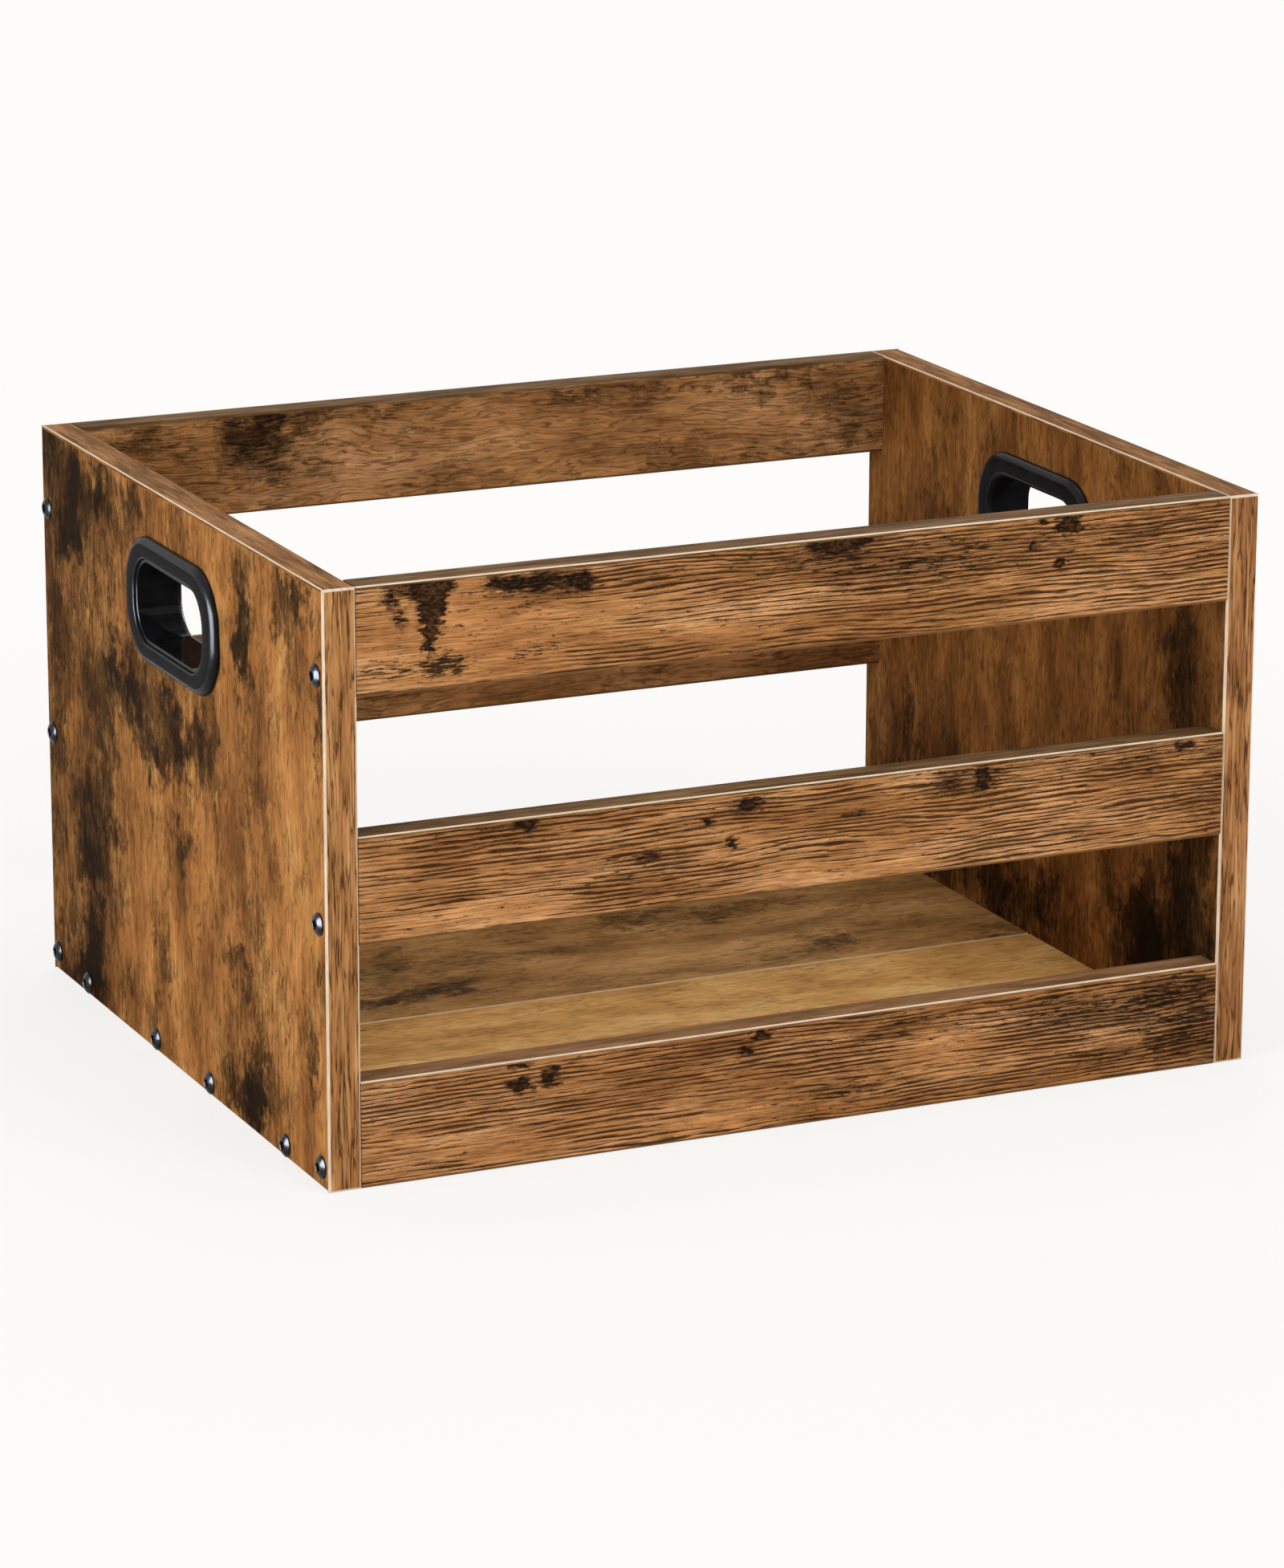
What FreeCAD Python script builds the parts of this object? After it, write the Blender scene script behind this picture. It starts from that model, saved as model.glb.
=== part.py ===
import FreeCAD, Part
import math
import os

# A slatted storage crate for 12-inch records, made of printed particleboard.
# Two end panels carry three slats at the front, three at the rear and a floor of two boards.
# One screw and one dowel hold each slat end, two screws hold each end of a floor board,
# a two-part moulded grip lines the hand hole of each end, and glued bands cover the board edges.
# Frame: X runs along the crate, -Y is its front, +Z is up, and the origin is the centre of its base.
# The crate looks the same after half a turn about Z, so the right end and the rear
# are half-turn copies of the left end and the front.

Vector = FreeCAD.Vector
X_AXIS = Vector(1, 0, 0)
Y_AXIS = Vector(0, 1, 0)
Z_AXIS = Vector(0, 0, 1)

# Crate, outside sizes over the boards
crate_length = 440.0
crate_depth = 350.0
crate_height = 260.0

# Boards
end_thickness = 15.0
slat_thickness = 15.0
slat_height = 47.0
slat_rows = ("bottom", "middle", "top")
floor_thickness = 12.0
floor_joint = 0.4

# Edge bands, with the bevel that the trimming cutter leaves
band_thickness = 1.2
band_bevel = 1.0

# Screws, with a domed head and a hexagon socket
screw_diameter = 5.0
screw_length = 50.0
screw_tip_length = 4.0
screw_tip_diameter = 1.6
head_diameter = 10.0
head_height = 2.8
head_rim_height = 0.7
socket_across_flats = 4.0
socket_depth = 1.7
socket_land = 0.4
screw_hole_clearance = 0.25
pilot_clearance = 0.05
pilot_end_clearance = 1.0

# Screws and drilled holes repeat often, so they are drawn with a few flat sides
head_sides = 12
hole_sides = 8

# Fluted dowels; the skin is the wood left between a dowel hole and the outer face
dowel_diameter = 8.0
dowel_in_slat = 20.0
dowel_skin = 5.0
dowel_chamfer = 0.8
dowel_clearance = 0.05
dowel_end_clearance = 0.5
flute_count = 8
flute_depth = 0.4

# Places of the fixings
screw_above_slat_edge = 9.5
dowel_below_slat_edge = 9.5
floor_screw_inset = 34.0

# Hand hole
grip_length = 83.0
grip_height = 35.0
grip_corner = 15.0
grip_below_rim = 50.0

# Grip sleeves: the inner half's sleeve lines the outer half's sleeve
sleeve_wall = 1.6
sleeve_clearance = 0.15
sleeve_recess = 1.2
sleeve_end_gap = 0.8
cutout_clearance = 0.3

# Grip flanges
flange_side = 13.5
flange_top = 11.0
flange_corner = 25.0
flange_thickness = 4.0
flange_bevel = 2.4
grip_mouth_bevel = 1.8

# Snap latches between the two halves of a grip
latch_spacing = 44.0
latch_length = 10.0
latch_width = 3.6
latch_height = 0.9
latch_clearance = 0.3
latch_from_flange = 4.0

# Places that follow from the sizes above
outer_face = -crate_length / 2
inner_face = outer_face + end_thickness
end_middle = outer_face + end_thickness / 2
slat_length = crate_length - 2 * end_thickness
slat_middle = -crate_depth / 2 + slat_thickness / 2
slat_pitch = (crate_height - slat_height) / (len(slat_rows) - 1)
slat_bottoms = {row: step * slat_pitch for step, row in enumerate(slat_rows)}
bay_depth = crate_depth - 2 * slat_thickness
floor_board_depth = (bay_depth - floor_joint) / 2
floor_board_middle = -bay_depth / 2 + floor_board_depth / 2
pilot_diameter = screw_diameter + 2 * pilot_clearance
pilot_depth = screw_length - end_thickness + pilot_end_clearance
dowel_in_panel = end_thickness - dowel_skin
dowel_bore = dowel_diameter + 2 * dowel_clearance
grip_middle = crate_height - grip_below_rim

# Fixings of the left end: screws start on its outer face, dowels cross the joint at its inner face
slat_screw_spots = [
    Vector(outer_face, y, bottom + screw_above_slat_edge)
    for y in (slat_middle, -slat_middle)
    for bottom in slat_bottoms.values()
]
dowel_spots = [
    Vector(inner_face, y, bottom + slat_height - dowel_below_slat_edge)
    for y in (slat_middle, -slat_middle)
    for bottom in slat_bottoms.values()
]
floor_screw_spots = [
    Vector(outer_face, middle + side * (floor_board_depth / 2 - floor_screw_inset), floor_thickness / 2)
    for middle in (floor_board_middle, -floor_board_middle)
    for side in (-1, 1)
]


def half_turn(shape):
    """A copy of the shape turned half round the crate's upright axis."""
    copy = shape.copy()
    copy.rotate(Vector(0, 0, 0), Z_AXIS, 180)
    return copy


def centred_box(length, depth, height, centre):
    corner = centre - Vector(length / 2, depth / 2, height / 2)
    return Part.makeBox(length, depth, height, corner)


def ring(x, radius, reaches):
    """Corners round the X axis, evenly spread; each reach is a share of the radius."""
    step = 2 * math.pi / len(reaches)
    return [
        Vector(x, radius * reach * math.cos(k * step), radius * reach * math.sin(k * step))
        for k, reach in enumerate(reaches)
    ]


def flat_face(points):
    return Part.Face(Part.makePolygon(points + [points[0]]))


def turned(profile, reaches):
    """A flat-sided turning about X, from the places and radii along its profile."""
    rings = [ring(x, radius, reaches) for x, radius in profile]
    faces = [flat_face(rings[0]), flat_face(rings[-1])]
    for near, far in zip(rings, rings[1:]):
        for k in range(len(reaches)):
            faces.append(flat_face([near[k - 1], near[k], far[k], far[k - 1]]))
    solid = Part.Solid(Part.Shell(faces))
    if solid.Volume < 0:
        solid.reverse()
    return solid


def drilled(diameter, mouth, depth):
    """A drilled hole along X, with sides that clear a round piece of its diameter; depth may be negative."""
    radius = diameter / 2 / math.cos(math.pi / hole_sides)
    hole = turned([(0, radius), (depth, radius)], [1] * hole_sides)
    hole.translate(mouth)
    return hole


def prism(points, sweep):
    """The solid that a flat outline sweeps."""
    return flat_face(points).extrude(sweep)


def bevelled_strip(length):
    """Side view of a band: the glued side lies on 0, and both outer corners are bevelled."""
    half = length / 2
    bevel = min(band_bevel, 0.9 * band_thickness)
    shoulder = band_thickness - bevel
    return [
        (-half, 0),
        (half, 0),
        (half, shoulder),
        (half - bevel, band_thickness),
        (-half + bevel, band_thickness),
        (-half, shoulder),
    ]


def edge_band(length, width, along, outward, glue_middle, bevelled_ends=False):
    """A glued edge band: bevelled along both sides, and over its ends where they stay in view."""
    section = [Vector(-length / 2, y, z) for y, z in bevelled_strip(width)]
    band = prism(section, Vector(length, 0, 0))
    if bevelled_ends:
        profile = [Vector(x, -width / 2, z) for x, z in bevelled_strip(length)]
        band = band.common(prism(profile, Vector(0, width, 0)))
    across = outward.cross(along)
    turn = FreeCAD.Rotation(along, across, outward, "ZXY")
    band.Placement = FreeCAD.Placement(glue_middle, turn)
    return band


def left_end_panel():
    """The left end: hand hole, screw holes right through and dowel holes from the inside."""
    core = centred_box(
        end_thickness,
        crate_depth - 2 * band_thickness,
        crate_height - 2 * band_thickness,
        Vector(end_middle, 0, crate_height / 2),
    )
    cutout = grip_outline(2 * sleeve_wall + sleeve_clearance + cutout_clearance)
    cuts = [rounded_block(cutout, outer_face, inner_face)]
    for spot in slat_screw_spots + floor_screw_spots:
        cuts.append(drilled(screw_diameter + 2 * screw_hole_clearance, spot, end_thickness))
    for spot in dowel_spots:
        cuts.append(drilled(dowel_bore, spot, -dowel_in_panel - dowel_end_clearance))
    return core.cut(cuts)


def left_end_bands():
    """Bands of the left end: the upright ones run the full height and cover the ends of the others."""
    glue_depth = crate_depth / 2 - band_thickness
    middle_height = crate_height / 2

    def upright(side):
        glue = Vector(end_middle, side * glue_depth, middle_height)
        return edge_band(crate_height, end_thickness, Z_AXIS, Y_AXIS * side, glue, bevelled_ends=True)

    def level(side):
        glue = Vector(end_middle, 0, middle_height + side * (middle_height - band_thickness))
        return edge_band(2 * glue_depth, end_thickness, Y_AXIS, Z_AXIS * side, glue)

    return {"front": upright(-1), "rear": upright(1), "bottom": level(-1), "top": level(1)}


def front_slat(bottom):
    """A slat with a screw pilot hole and a dowel hole in each end."""
    core = centred_box(
        slat_length,
        slat_thickness,
        slat_height - 2 * band_thickness,
        Vector(0, slat_middle, bottom + slat_height / 2),
    )
    holes = (
        (pilot_diameter, pilot_depth, bottom + screw_above_slat_edge),
        (dowel_bore, dowel_in_slat + dowel_end_clearance, bottom + slat_height - dowel_below_slat_edge),
    )
    cuts = []
    for side in (-1, 1):
        for diameter, depth, height in holes:
            mouth = Vector(side * slat_length / 2, slat_middle, height)
            cuts.append(drilled(diameter, mouth, -side * depth))
    return core.cut(cuts)


def front_slat_bands(bottom):
    lower_glue = Vector(0, slat_middle, bottom + band_thickness)
    upper_glue = Vector(0, slat_middle, bottom + slat_height - band_thickness)
    return {
        "lower": edge_band(slat_length, slat_thickness, X_AXIS, -Z_AXIS, lower_glue),
        "upper": edge_band(slat_length, slat_thickness, X_AXIS, Z_AXIS, upper_glue),
    }


def front_floor_board():
    """The front half of the floor, with two screw pilot holes in each end."""
    core = centred_box(
        slat_length,
        floor_board_depth - 2 * band_thickness,
        floor_thickness,
        Vector(0, floor_board_middle, floor_thickness / 2),
    )
    cuts = []
    for side in (-1, 1):
        for spot in floor_screw_spots[:2]:
            mouth = Vector(side * slat_length / 2, spot.y, spot.z)
            cuts.append(drilled(pilot_diameter, mouth, -side * pilot_depth))
    return core.cut(cuts)


def front_floor_bands():
    """The outer band lies against the bottom slat, and the inner one faces the joint at mid-depth."""
    reach = floor_board_depth / 2 - band_thickness
    outer_glue = Vector(0, floor_board_middle - reach, floor_thickness / 2)
    inner_glue = Vector(0, floor_board_middle + reach, floor_thickness / 2)
    return {
        "outer": edge_band(slat_length, floor_thickness, X_AXIS, -Y_AXIS, outer_glue),
        "inner": edge_band(slat_length, floor_thickness, X_AXIS, Y_AXIS, inner_glue),
    }


def screw(spot):
    """A screw driven along +X, with the underside of its head on the spot."""
    rim = head_diameter / 2
    shank = screw_diameter / 2
    socket_corner = socket_across_flats / math.sqrt(3)
    cap = head_height - head_rim_height
    dome_radius = (rim**2 + cap**2) / (2 * cap)
    rim_angle = math.asin(rim / dome_radius)
    crown_angle = math.asin((socket_corner + socket_land) / dome_radius)
    dome = [
        (dome_radius * (1 - math.cos(angle)) - head_height, dome_radius * math.sin(angle))
        for angle in (crown_angle, (crown_angle + rim_angle) / 2, rim_angle)
    ]
    head = turned(dome + [(0, rim)], [1] * head_sides)
    crown = dome[0][0]
    head = head.cut(prism(ring(crown, socket_corner, [1] * 6), X_AXIS * socket_depth))
    tip = (screw_length, screw_tip_diameter / 2)
    stem = turned([(0, shank), (screw_length - screw_tip_length, shank), tip], [1] * hole_sides)
    body = head.fuse(stem)
    body.translate(spot)
    return body


def dowel(spot):
    """A fluted dowel along X that crosses the joint plane at the spot."""
    radius = dowel_diameter / 2
    tip = radius - dowel_chamfer
    pin = turned(
        [
            (-dowel_in_panel, tip),
            (-dowel_in_panel + dowel_chamfer, radius),
            (dowel_in_slat - dowel_chamfer, radius),
            (dowel_in_slat, tip),
        ],
        [1, 1 - flute_depth / radius] * flute_count,
    )
    pin.translate(spot)
    return pin


def grip_outline(growth):
    """Length, height and corner radius of the hand hole grown by the same amount on every side."""
    return grip_length + 2 * growth, grip_height + 2 * growth, grip_corner + growth


def rounded_block(outline, x_from, x_to):
    """A block between two places along X with a round-cornered outline, centred on the hand hole."""
    length, height, corner = outline
    low = Vector(min(x_from, x_to), -length / 2, grip_middle - height / 2)
    block = Part.makeBox(abs(x_to - x_from), length, height, low)
    corners = [edge for edge in block.Edges if edge.BoundBox.YLength + edge.BoundBox.ZLength < 1e-3]
    return block.makeFillet(min(corner, 0.49 * height), corners)


def rounded_tube(outside, inside, x_from, x_to):
    return rounded_block(outside, x_from, x_to).cut(rounded_block(inside, x_from, x_to))


def crest_loop(solid, crest, outer):
    """Edges of the outer or the inner loop of the flat face that lies at crest."""
    for face in solid.Faces:
        if max(abs(face.BoundBox.XMin - crest), abs(face.BoundBox.XMax - crest)) < 1e-4:
            loops = sorted(face.Wires, key=lambda loop: loop.BoundBox.YLength)
            return loops[-1 if outer else 0].Edges
    return []


def grip_flange(face, outward, hole):
    """A flange that lies on one face of the panel, with its outer edge bevelled."""
    crest = face + outward * flange_thickness
    rim = (grip_length + 2 * flange_side, grip_height + 2 * flange_top, flange_corner)
    flange = rounded_tube(rim, hole, face, crest)
    bevel = min(flange_bevel, 0.9 * flange_thickness)
    return flange.makeChamfer(bevel, crest_loop(flange, crest, outer=True))


def latch_places():
    """Middles of the latches along Y, each with the sign of the sleeve wall that it stands on."""
    return [(side * latch_spacing / 2, wall) for wall in (-1, 1) for side in (-1, 1)]


def left_grip_outer():
    """The outer half: a flange on the outside face and a sleeve through the panel with latch windows."""
    bore = grip_outline(sleeve_wall + sleeve_clearance)
    skin = grip_outline(2 * sleeve_wall + sleeve_clearance)
    flange = grip_flange(outer_face, -1, bore)
    sleeve = rounded_tube(skin, bore, outer_face, inner_face - sleeve_end_gap)
    window_x = inner_face - latch_from_flange - latch_width / 2
    wall_middle = (bore[1] + sleeve_wall) / 2
    windows = [
        centred_box(
            latch_width + 2 * latch_clearance,
            latch_length + 2 * latch_clearance,
            2 * sleeve_wall,
            Vector(window_x, y, grip_middle + wall * wall_middle),
        )
        for y, wall in latch_places()
    ]
    return flange.fuse(sleeve).removeSplitter().cut(windows)


def left_grip_inner():
    """The inner half: a flange on the inside face and a lining sleeve that snaps into the outer half."""
    hole = grip_outline(0)
    lining = grip_outline(sleeve_wall)
    flange = grip_flange(inner_face, 1, hole)
    mouth = crest_loop(flange, inner_face + flange_thickness, outer=False)
    flange = flange.makeChamfer(grip_mouth_bevel, mouth)
    sleeve = rounded_tube(lining, hole, outer_face - flange_thickness + sleeve_recess, inner_face)
    catch = inner_face - latch_from_flange
    latches = []
    for y, wall in latch_places():
        start = y - latch_length / 2
        foot = grip_middle + wall * lining[1] / 2
        wedge = [
            Vector(catch, start, foot),
            Vector(catch, start, foot + wall * latch_height),
            Vector(catch - latch_width, start, foot),
        ]
        latches.append(prism(wedge, Y_AXIS * latch_length))
    return flange.fuse([sleeve] + latches).removeSplitter()


def save(node, shapes):
    """Writes one node, and prints how many solids it has and how much they hold."""
    solids = [solid for shape in shapes for solid in shape.Solids]
    whole = solids[0] if len(solids) == 1 else Part.makeCompound(solids)
    whole.exportStep(os.path.join("parts", node + ".step"))
    sound = all(solid.isValid() and solid.isClosed() for solid in solids)
    print(f"{node}: {len(solids)} solid(s), {whole.Volume / 1000:.2f} cm3, sound {sound}")


def save_pair(first, second, shapes):
    """Writes a node, and its half-turn copy on the other side of the crate."""
    save(first, shapes)
    save(second, [half_turn(shape) for shape in shapes])


def main():
    os.makedirs("parts", exist_ok=True)
    save_pair("left_end_panel", "right_end_panel", [left_end_panel()])
    across = {"front": "rear", "rear": "front", "bottom": "bottom", "top": "top"}
    for edge, band in left_end_bands().items():
        save_pair(f"left_end_{edge}_band", f"right_end_{across[edge]}_band", [band])
    for row, bottom in slat_bottoms.items():
        save_pair(f"front_{row}_slat", f"rear_{row}_slat", [front_slat(bottom)])
        for edge, band in front_slat_bands(bottom).items():
            save_pair(f"front_{row}_slat_{edge}_band", f"rear_{row}_slat_{edge}_band", [band])
    save_pair("front_floor_board", "rear_floor_board", [front_floor_board()])
    for edge, band in front_floor_bands().items():
        save_pair(f"front_floor_{edge}_band", f"rear_floor_{edge}_band", [band])
    save_pair("left_grip_outer", "right_grip_outer", [left_grip_outer()])
    save_pair("left_grip_inner", "right_grip_inner", [left_grip_inner()])
    save_pair("left_slat_screws", "right_slat_screws", [screw(spot) for spot in slat_screw_spots])
    save_pair("left_floor_screws", "right_floor_screws", [screw(spot) for spot in floor_screw_spots])
    save_pair("left_dowels", "right_dowels", [dowel(spot) for spot in dowel_spots])


main()
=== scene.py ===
# %% [markdown]
# # A record crate, dressed in Blender
# The crate is a flat-pack box for long-play records: two end panels, three slats at the front, three at
# the rear and a floor of two boards, all of particleboard with a printed wood pattern. Every piece has
# already been modelled to size elsewhere, and comes in here as a fixed frame. What is left to do is
# what makes it look real: the camera, the light and above all the finishes.

# %% Load the crate
import math

import bmesh
import bpy
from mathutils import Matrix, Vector


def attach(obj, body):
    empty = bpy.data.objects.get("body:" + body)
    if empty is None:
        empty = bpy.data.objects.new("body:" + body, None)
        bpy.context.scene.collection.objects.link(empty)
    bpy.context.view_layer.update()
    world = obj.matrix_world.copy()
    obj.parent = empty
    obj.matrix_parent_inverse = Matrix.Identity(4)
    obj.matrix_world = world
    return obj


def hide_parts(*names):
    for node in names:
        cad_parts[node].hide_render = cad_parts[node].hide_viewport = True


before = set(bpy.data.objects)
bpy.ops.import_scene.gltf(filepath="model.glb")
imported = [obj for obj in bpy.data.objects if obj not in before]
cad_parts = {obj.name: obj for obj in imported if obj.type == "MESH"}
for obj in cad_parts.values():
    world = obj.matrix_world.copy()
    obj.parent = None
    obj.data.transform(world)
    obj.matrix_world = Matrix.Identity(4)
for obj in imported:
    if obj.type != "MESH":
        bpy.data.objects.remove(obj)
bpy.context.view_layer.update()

print("pieces of the crate:", len(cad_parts))

# %% [markdown]
# ## The camera
# The crate was photographed from a little above, with its left end and its front in view. A camera
# could be placed by eye, but then every later comparison would be a guess. Its place, its turn and its
# lens were worked out from the corners of the crate in the picture instead, so they are kept as plain
# numbers. The lens is long and far away, as in a shop photograph, which keeps the board edges nearly
# parallel.

# %% Place the camera
MM = 0.001
LONG_SIDE_OF_SENSOR = 36.0
LENS_MM = 136.5
CAMERA_PLACE_MM = (-1079, -2369, 835)
CAMERA_TURN_DEG = (74.41, -0.14, -24.52)

scene = bpy.context.scene
camera_data = bpy.data.cameras.new("photo_camera")
camera_data.sensor_width = LONG_SIDE_OF_SENSOR
camera_data.lens = LENS_MM
camera = bpy.data.objects.new("photo_camera", camera_data)
camera.location = Vector(CAMERA_PLACE_MM) * MM
camera.rotation_euler = [math.radians(turn) for turn in CAMERA_TURN_DEG]
scene.collection.objects.link(camera)
scene.camera = camera
print("camera distance in metres:", round(camera.location.length, 3))

# %% [markdown]
# ## A small kit for mixing finishes
# A finish in Blender is a graph of nodes. Drawn by hand it soon becomes a tangle, so this class keeps
# one graph and offers a few verbs: sum, cloud, blend and so on. Each verb adds one node or two and
# hands back the result, and a finish then reads like a recipe. All lengths are in millimetres, which
# suits a printed wood grain. A soft step is often written as four numbers in one named value: two
# marks, and what comes out below and above them.

# %% The mixing kit
MM_PER_METRE = 1000
SEED_SHIFT = (3.1, 1.7, 2.3)
MIDDLE_GREY = (0.5, 0.5, 0.5)
PLAIN_GLOSS = 0.5


def paint(red, green, blue):
    """A colour as a paint program shows it, 0 to 255, in the linear numbers that a shader wants."""

    def linear(level):
        level /= 255
        return level / 12.92 if level <= 0.04045 else ((level + 0.055) / 1.055) ** 2.4

    return (linear(red), linear(green), linear(blue), 1.0)


class Finish:
    """One finish while it is being mixed; place is where a point lies on the crate, in mm."""

    def __init__(self, name):
        self.material = bpy.data.materials.new(name)
        self.material.use_nodes = True
        self.nodes = self.material.node_tree.nodes
        self.links = self.material.node_tree.links
        self.nodes.clear()
        spot = self.node("ShaderNodeTexCoord").outputs["Object"]
        self.place = self.vector("MULTIPLY", spot, (MM_PER_METRE,) * 3)

    def node(self, kind, inputs=None, **settings):
        """Adds one node; an input that comes from another node is linked, and any other is set."""
        made = self.nodes.new(kind)
        for key, value in settings.items():
            setattr(made, key, value)
        for socket, value in (inputs or {}).items():
            if isinstance(value, bpy.types.NodeSocket):
                self.links.new(value, made.inputs[socket])
            else:
                made.inputs[socket].default_value = value
        return made

    def sum(self, operation, *values):
        """One sum with numbers."""
        made = self.node("ShaderNodeMath", dict(enumerate(values)), operation=operation)
        return made.outputs[0]

    def vector(self, operation, *values):
        """One sum with places."""
        made = self.node("ShaderNodeVectorMath", dict(enumerate(values)), operation=operation)
        return made.outputs["Value" if operation == "LENGTH" else "Vector"]

    def axis(self, letter):
        """How far along X, Y or Z a point lies, in mm."""
        return self.node("ShaderNodeSeparateXYZ", {0: self.place}).outputs[letter]

    def between(self, value, low, high, to_low=0.0, to_high=1.0):
        """A soft step: to_low below the low mark, to_high above the high one."""
        marks = {"Value": value, "From Min": low, "From Max": high, "To Min": to_low, "To Max": to_high}
        return self.node("ShaderNodeMapRange", marks, interpolation_type="SMOOTHSTEP").outputs[0]

    def steps(self, value, colours):
        """A row of colours along a value: (mark, colour) pairs."""
        ramp = self.node("ShaderNodeValToRGB", {0: value})
        marks = ramp.color_ramp.elements
        while len(marks) < len(colours):
            marks.new(0.5)
        for mark, (position, colour) in zip(marks, colours):
            mark.position = position
            mark.color = colour
        return ramp.outputs["Color"]

    def blend(self, share, under, over):
        """The one colour with its share of the other laid over it."""
        made = self.node("ShaderNodeMix", {0: share, 6: under, 7: over}, data_type="RGBA")
        return made.outputs[2]

    def shade(self, colour, factor):
        """The colour made darker or lighter by a factor."""
        return self.node("ShaderNodeHueSaturation", {"Color": colour, "Value": factor}).outputs[0]

    def noise(self, place, sizes, seed=0.0, detail=3.0, rough=0.5):
        """Random clouds with a usual size in mm along X, Y and Z."""
        stretch = tuple(1 / size for size in sizes)
        shift = tuple(seed * step for step in SEED_SHIFT)
        spot = self.vector("MULTIPLY_ADD", place, stretch, shift)
        settings = {"Vector": spot, "Scale": 1.0, "Detail": detail, "Roughness": rough}
        return self.node("ShaderNodeTexNoise", settings)

    def cloud(self, place, sizes, **more):
        """The clouds as one number, mostly between 0 and 1."""
        return self.noise(place, sizes, **more).outputs[0]

    def stray(self, place, sizes, reach, **more):
        """The place pushed about at random, by up to half the reach in mm along X, Y and Z."""
        push = self.noise(place, sizes, **more).outputs[1]
        centred = self.vector("SUBTRACT", push, MIDDLE_GREY)
        return self.vector("MULTIPLY_ADD", centred, reach, place)

    def spots(self, place, spots):
        """Soft round spots, added up: (centre, half sizes, strength), lengths in mm."""
        total = 0.0
        for centre, halves, strength in spots:
            near = {"Vector": place, "Location": centre, "Scale": halves}
            inside = self.node("ShaderNodeMapping", near, vector_type="TEXTURE").outputs[0]
            round_spot = self.node("ShaderNodeTexGradient", {0: inside}, gradient_type="SPHERICAL")
            total = self.sum("MULTIPLY_ADD", round_spot.outputs["Fac"], strength, total)
        return total

    def coat(self, colour, rough, height, relief_mm, specular=PLAIN_GLOSS):
        """Closes the recipe: a surface with its colour, its sheen and its relief."""
        bump = {"Height": height, "Distance": relief_mm * MM, "Strength": 1.0}
        normal = self.node("ShaderNodeBump", bump).outputs[0]
        skin = {"Base Color": colour, "Roughness": rough, "Specular IOR Level": specular, "Normal": normal}
        surface = self.node("ShaderNodeBsdfPrincipled", skin)
        self.node("ShaderNodeOutputMaterial", {0: surface.outputs[0]})
        return self.material


def dress(node, finish):
    """Gives a piece of the frame its finish."""
    slots = bpy.data.objects[node].data.materials
    slots.clear()
    slots.append(finish)


print("mixing kit ready:", [verb for verb in vars(Finish) if not verb.startswith("_")])

# %% [markdown]
# ## Light and floor
# A shop photograph of a brown box uses big soft lights, so that no side falls into shade. Part of the
# light here comes from a white world and the rest from four wide square lamps: in front, at the left,
# above and behind. The camera and shiny surfaces see the world as plain white, while the boards are lit
# by a dimmer one, which leaves room for the lamps to shape the box. Two small bluish lamps at the ends
# shine on glossy things only. They draw the fine light line along the rim of a black grip, which would
# otherwise be a plain dark patch.

# %% Light the set
PLAIN_WHITE = (1.0, 1.0, 1.0, 1.0)
BACKDROP_WHITE = paint(253, 252, 250)
WORLD_GLOWS = [
    # colour and strength: first what lights the boards, then what the camera and shiny surfaces see
    (PLAIN_WHITE, 0.3),
    (BACKDROP_WHITE, 1.0),
]
LAMP_AIM = Vector((0, 0, 0.12))
SOFTBOXES = [
    # name, place in metres, width in metres, watts
    ("front_softbox", (0.9, -2.3, 1.3), 1.5, 34),
    ("left_softbox", (-2.4, -0.7, 1.2), 1.4, 34),
    ("top_softbox", (0.0, 0.2, 2.6), 1.8, 17),
    ("rear_softbox", (0.9, 2.4, 1.2), 1.5, 14),
]
GLINTS = [("left_glint", (-0.86, -0.17, 0.2)), ("right_glint", (0.86, 0.17, 0.2))]
GLINT_WIDTH_M = 0.6
GLINT_WATTS = 60
GLINT_BLUE = (0.8, 0.88, 1.0)


def white_world():
    world = bpy.data.worlds.new("white_studio")
    world.use_nodes = True
    nodes, links = world.node_tree.nodes, world.node_tree.links
    nodes.clear()
    ray = nodes.new("ShaderNodeLightPath").outputs
    seen_ray = ray["Is Camera Ray"]
    for other in ("Is Glossy Ray", "Is Transmission Ray"):
        either = nodes.new("ShaderNodeMath")
        either.operation = "MAXIMUM"
        links.new(seen_ray, either.inputs[0])
        links.new(ray[other], either.inputs[1])
        seen_ray = either.outputs[0]
    choose = nodes.new("ShaderNodeMixShader")
    links.new(seen_ray, choose.inputs[0])
    for place, (colour, strength) in enumerate(WORLD_GLOWS, 1):
        glow = nodes.new("ShaderNodeBackground")
        glow.inputs["Color"].default_value = colour
        glow.inputs["Strength"].default_value = strength
        links.new(glow.outputs[0], choose.inputs[place])
    links.new(choose.outputs[0], nodes.new("ShaderNodeOutputWorld").inputs[0])
    return world


def soft_lamp(name, place, size, watts):
    """A square soft light, in metres, that looks at the middle of the crate."""
    data = bpy.data.lights.new(name, "AREA")
    data.size = size
    data.energy = watts
    lamp = bpy.data.objects.new(name, data)
    lamp.location = place
    lamp.rotation_euler = (LAMP_AIM - Vector(place)).to_track_quat("-Z", "Y").to_euler()
    scene.collection.objects.link(lamp)
    return lamp


scene.view_settings.view_transform = "Standard"
scene.world = white_world()
for softbox in SOFTBOXES:
    soft_lamp(*softbox)
for name, place in GLINTS:
    glint = soft_lamp(name, place, GLINT_WIDTH_M, GLINT_WATTS)
    glint.data.color = GLINT_BLUE
    glint.visible_diffuse = False
    glint.visible_camera = False

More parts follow.
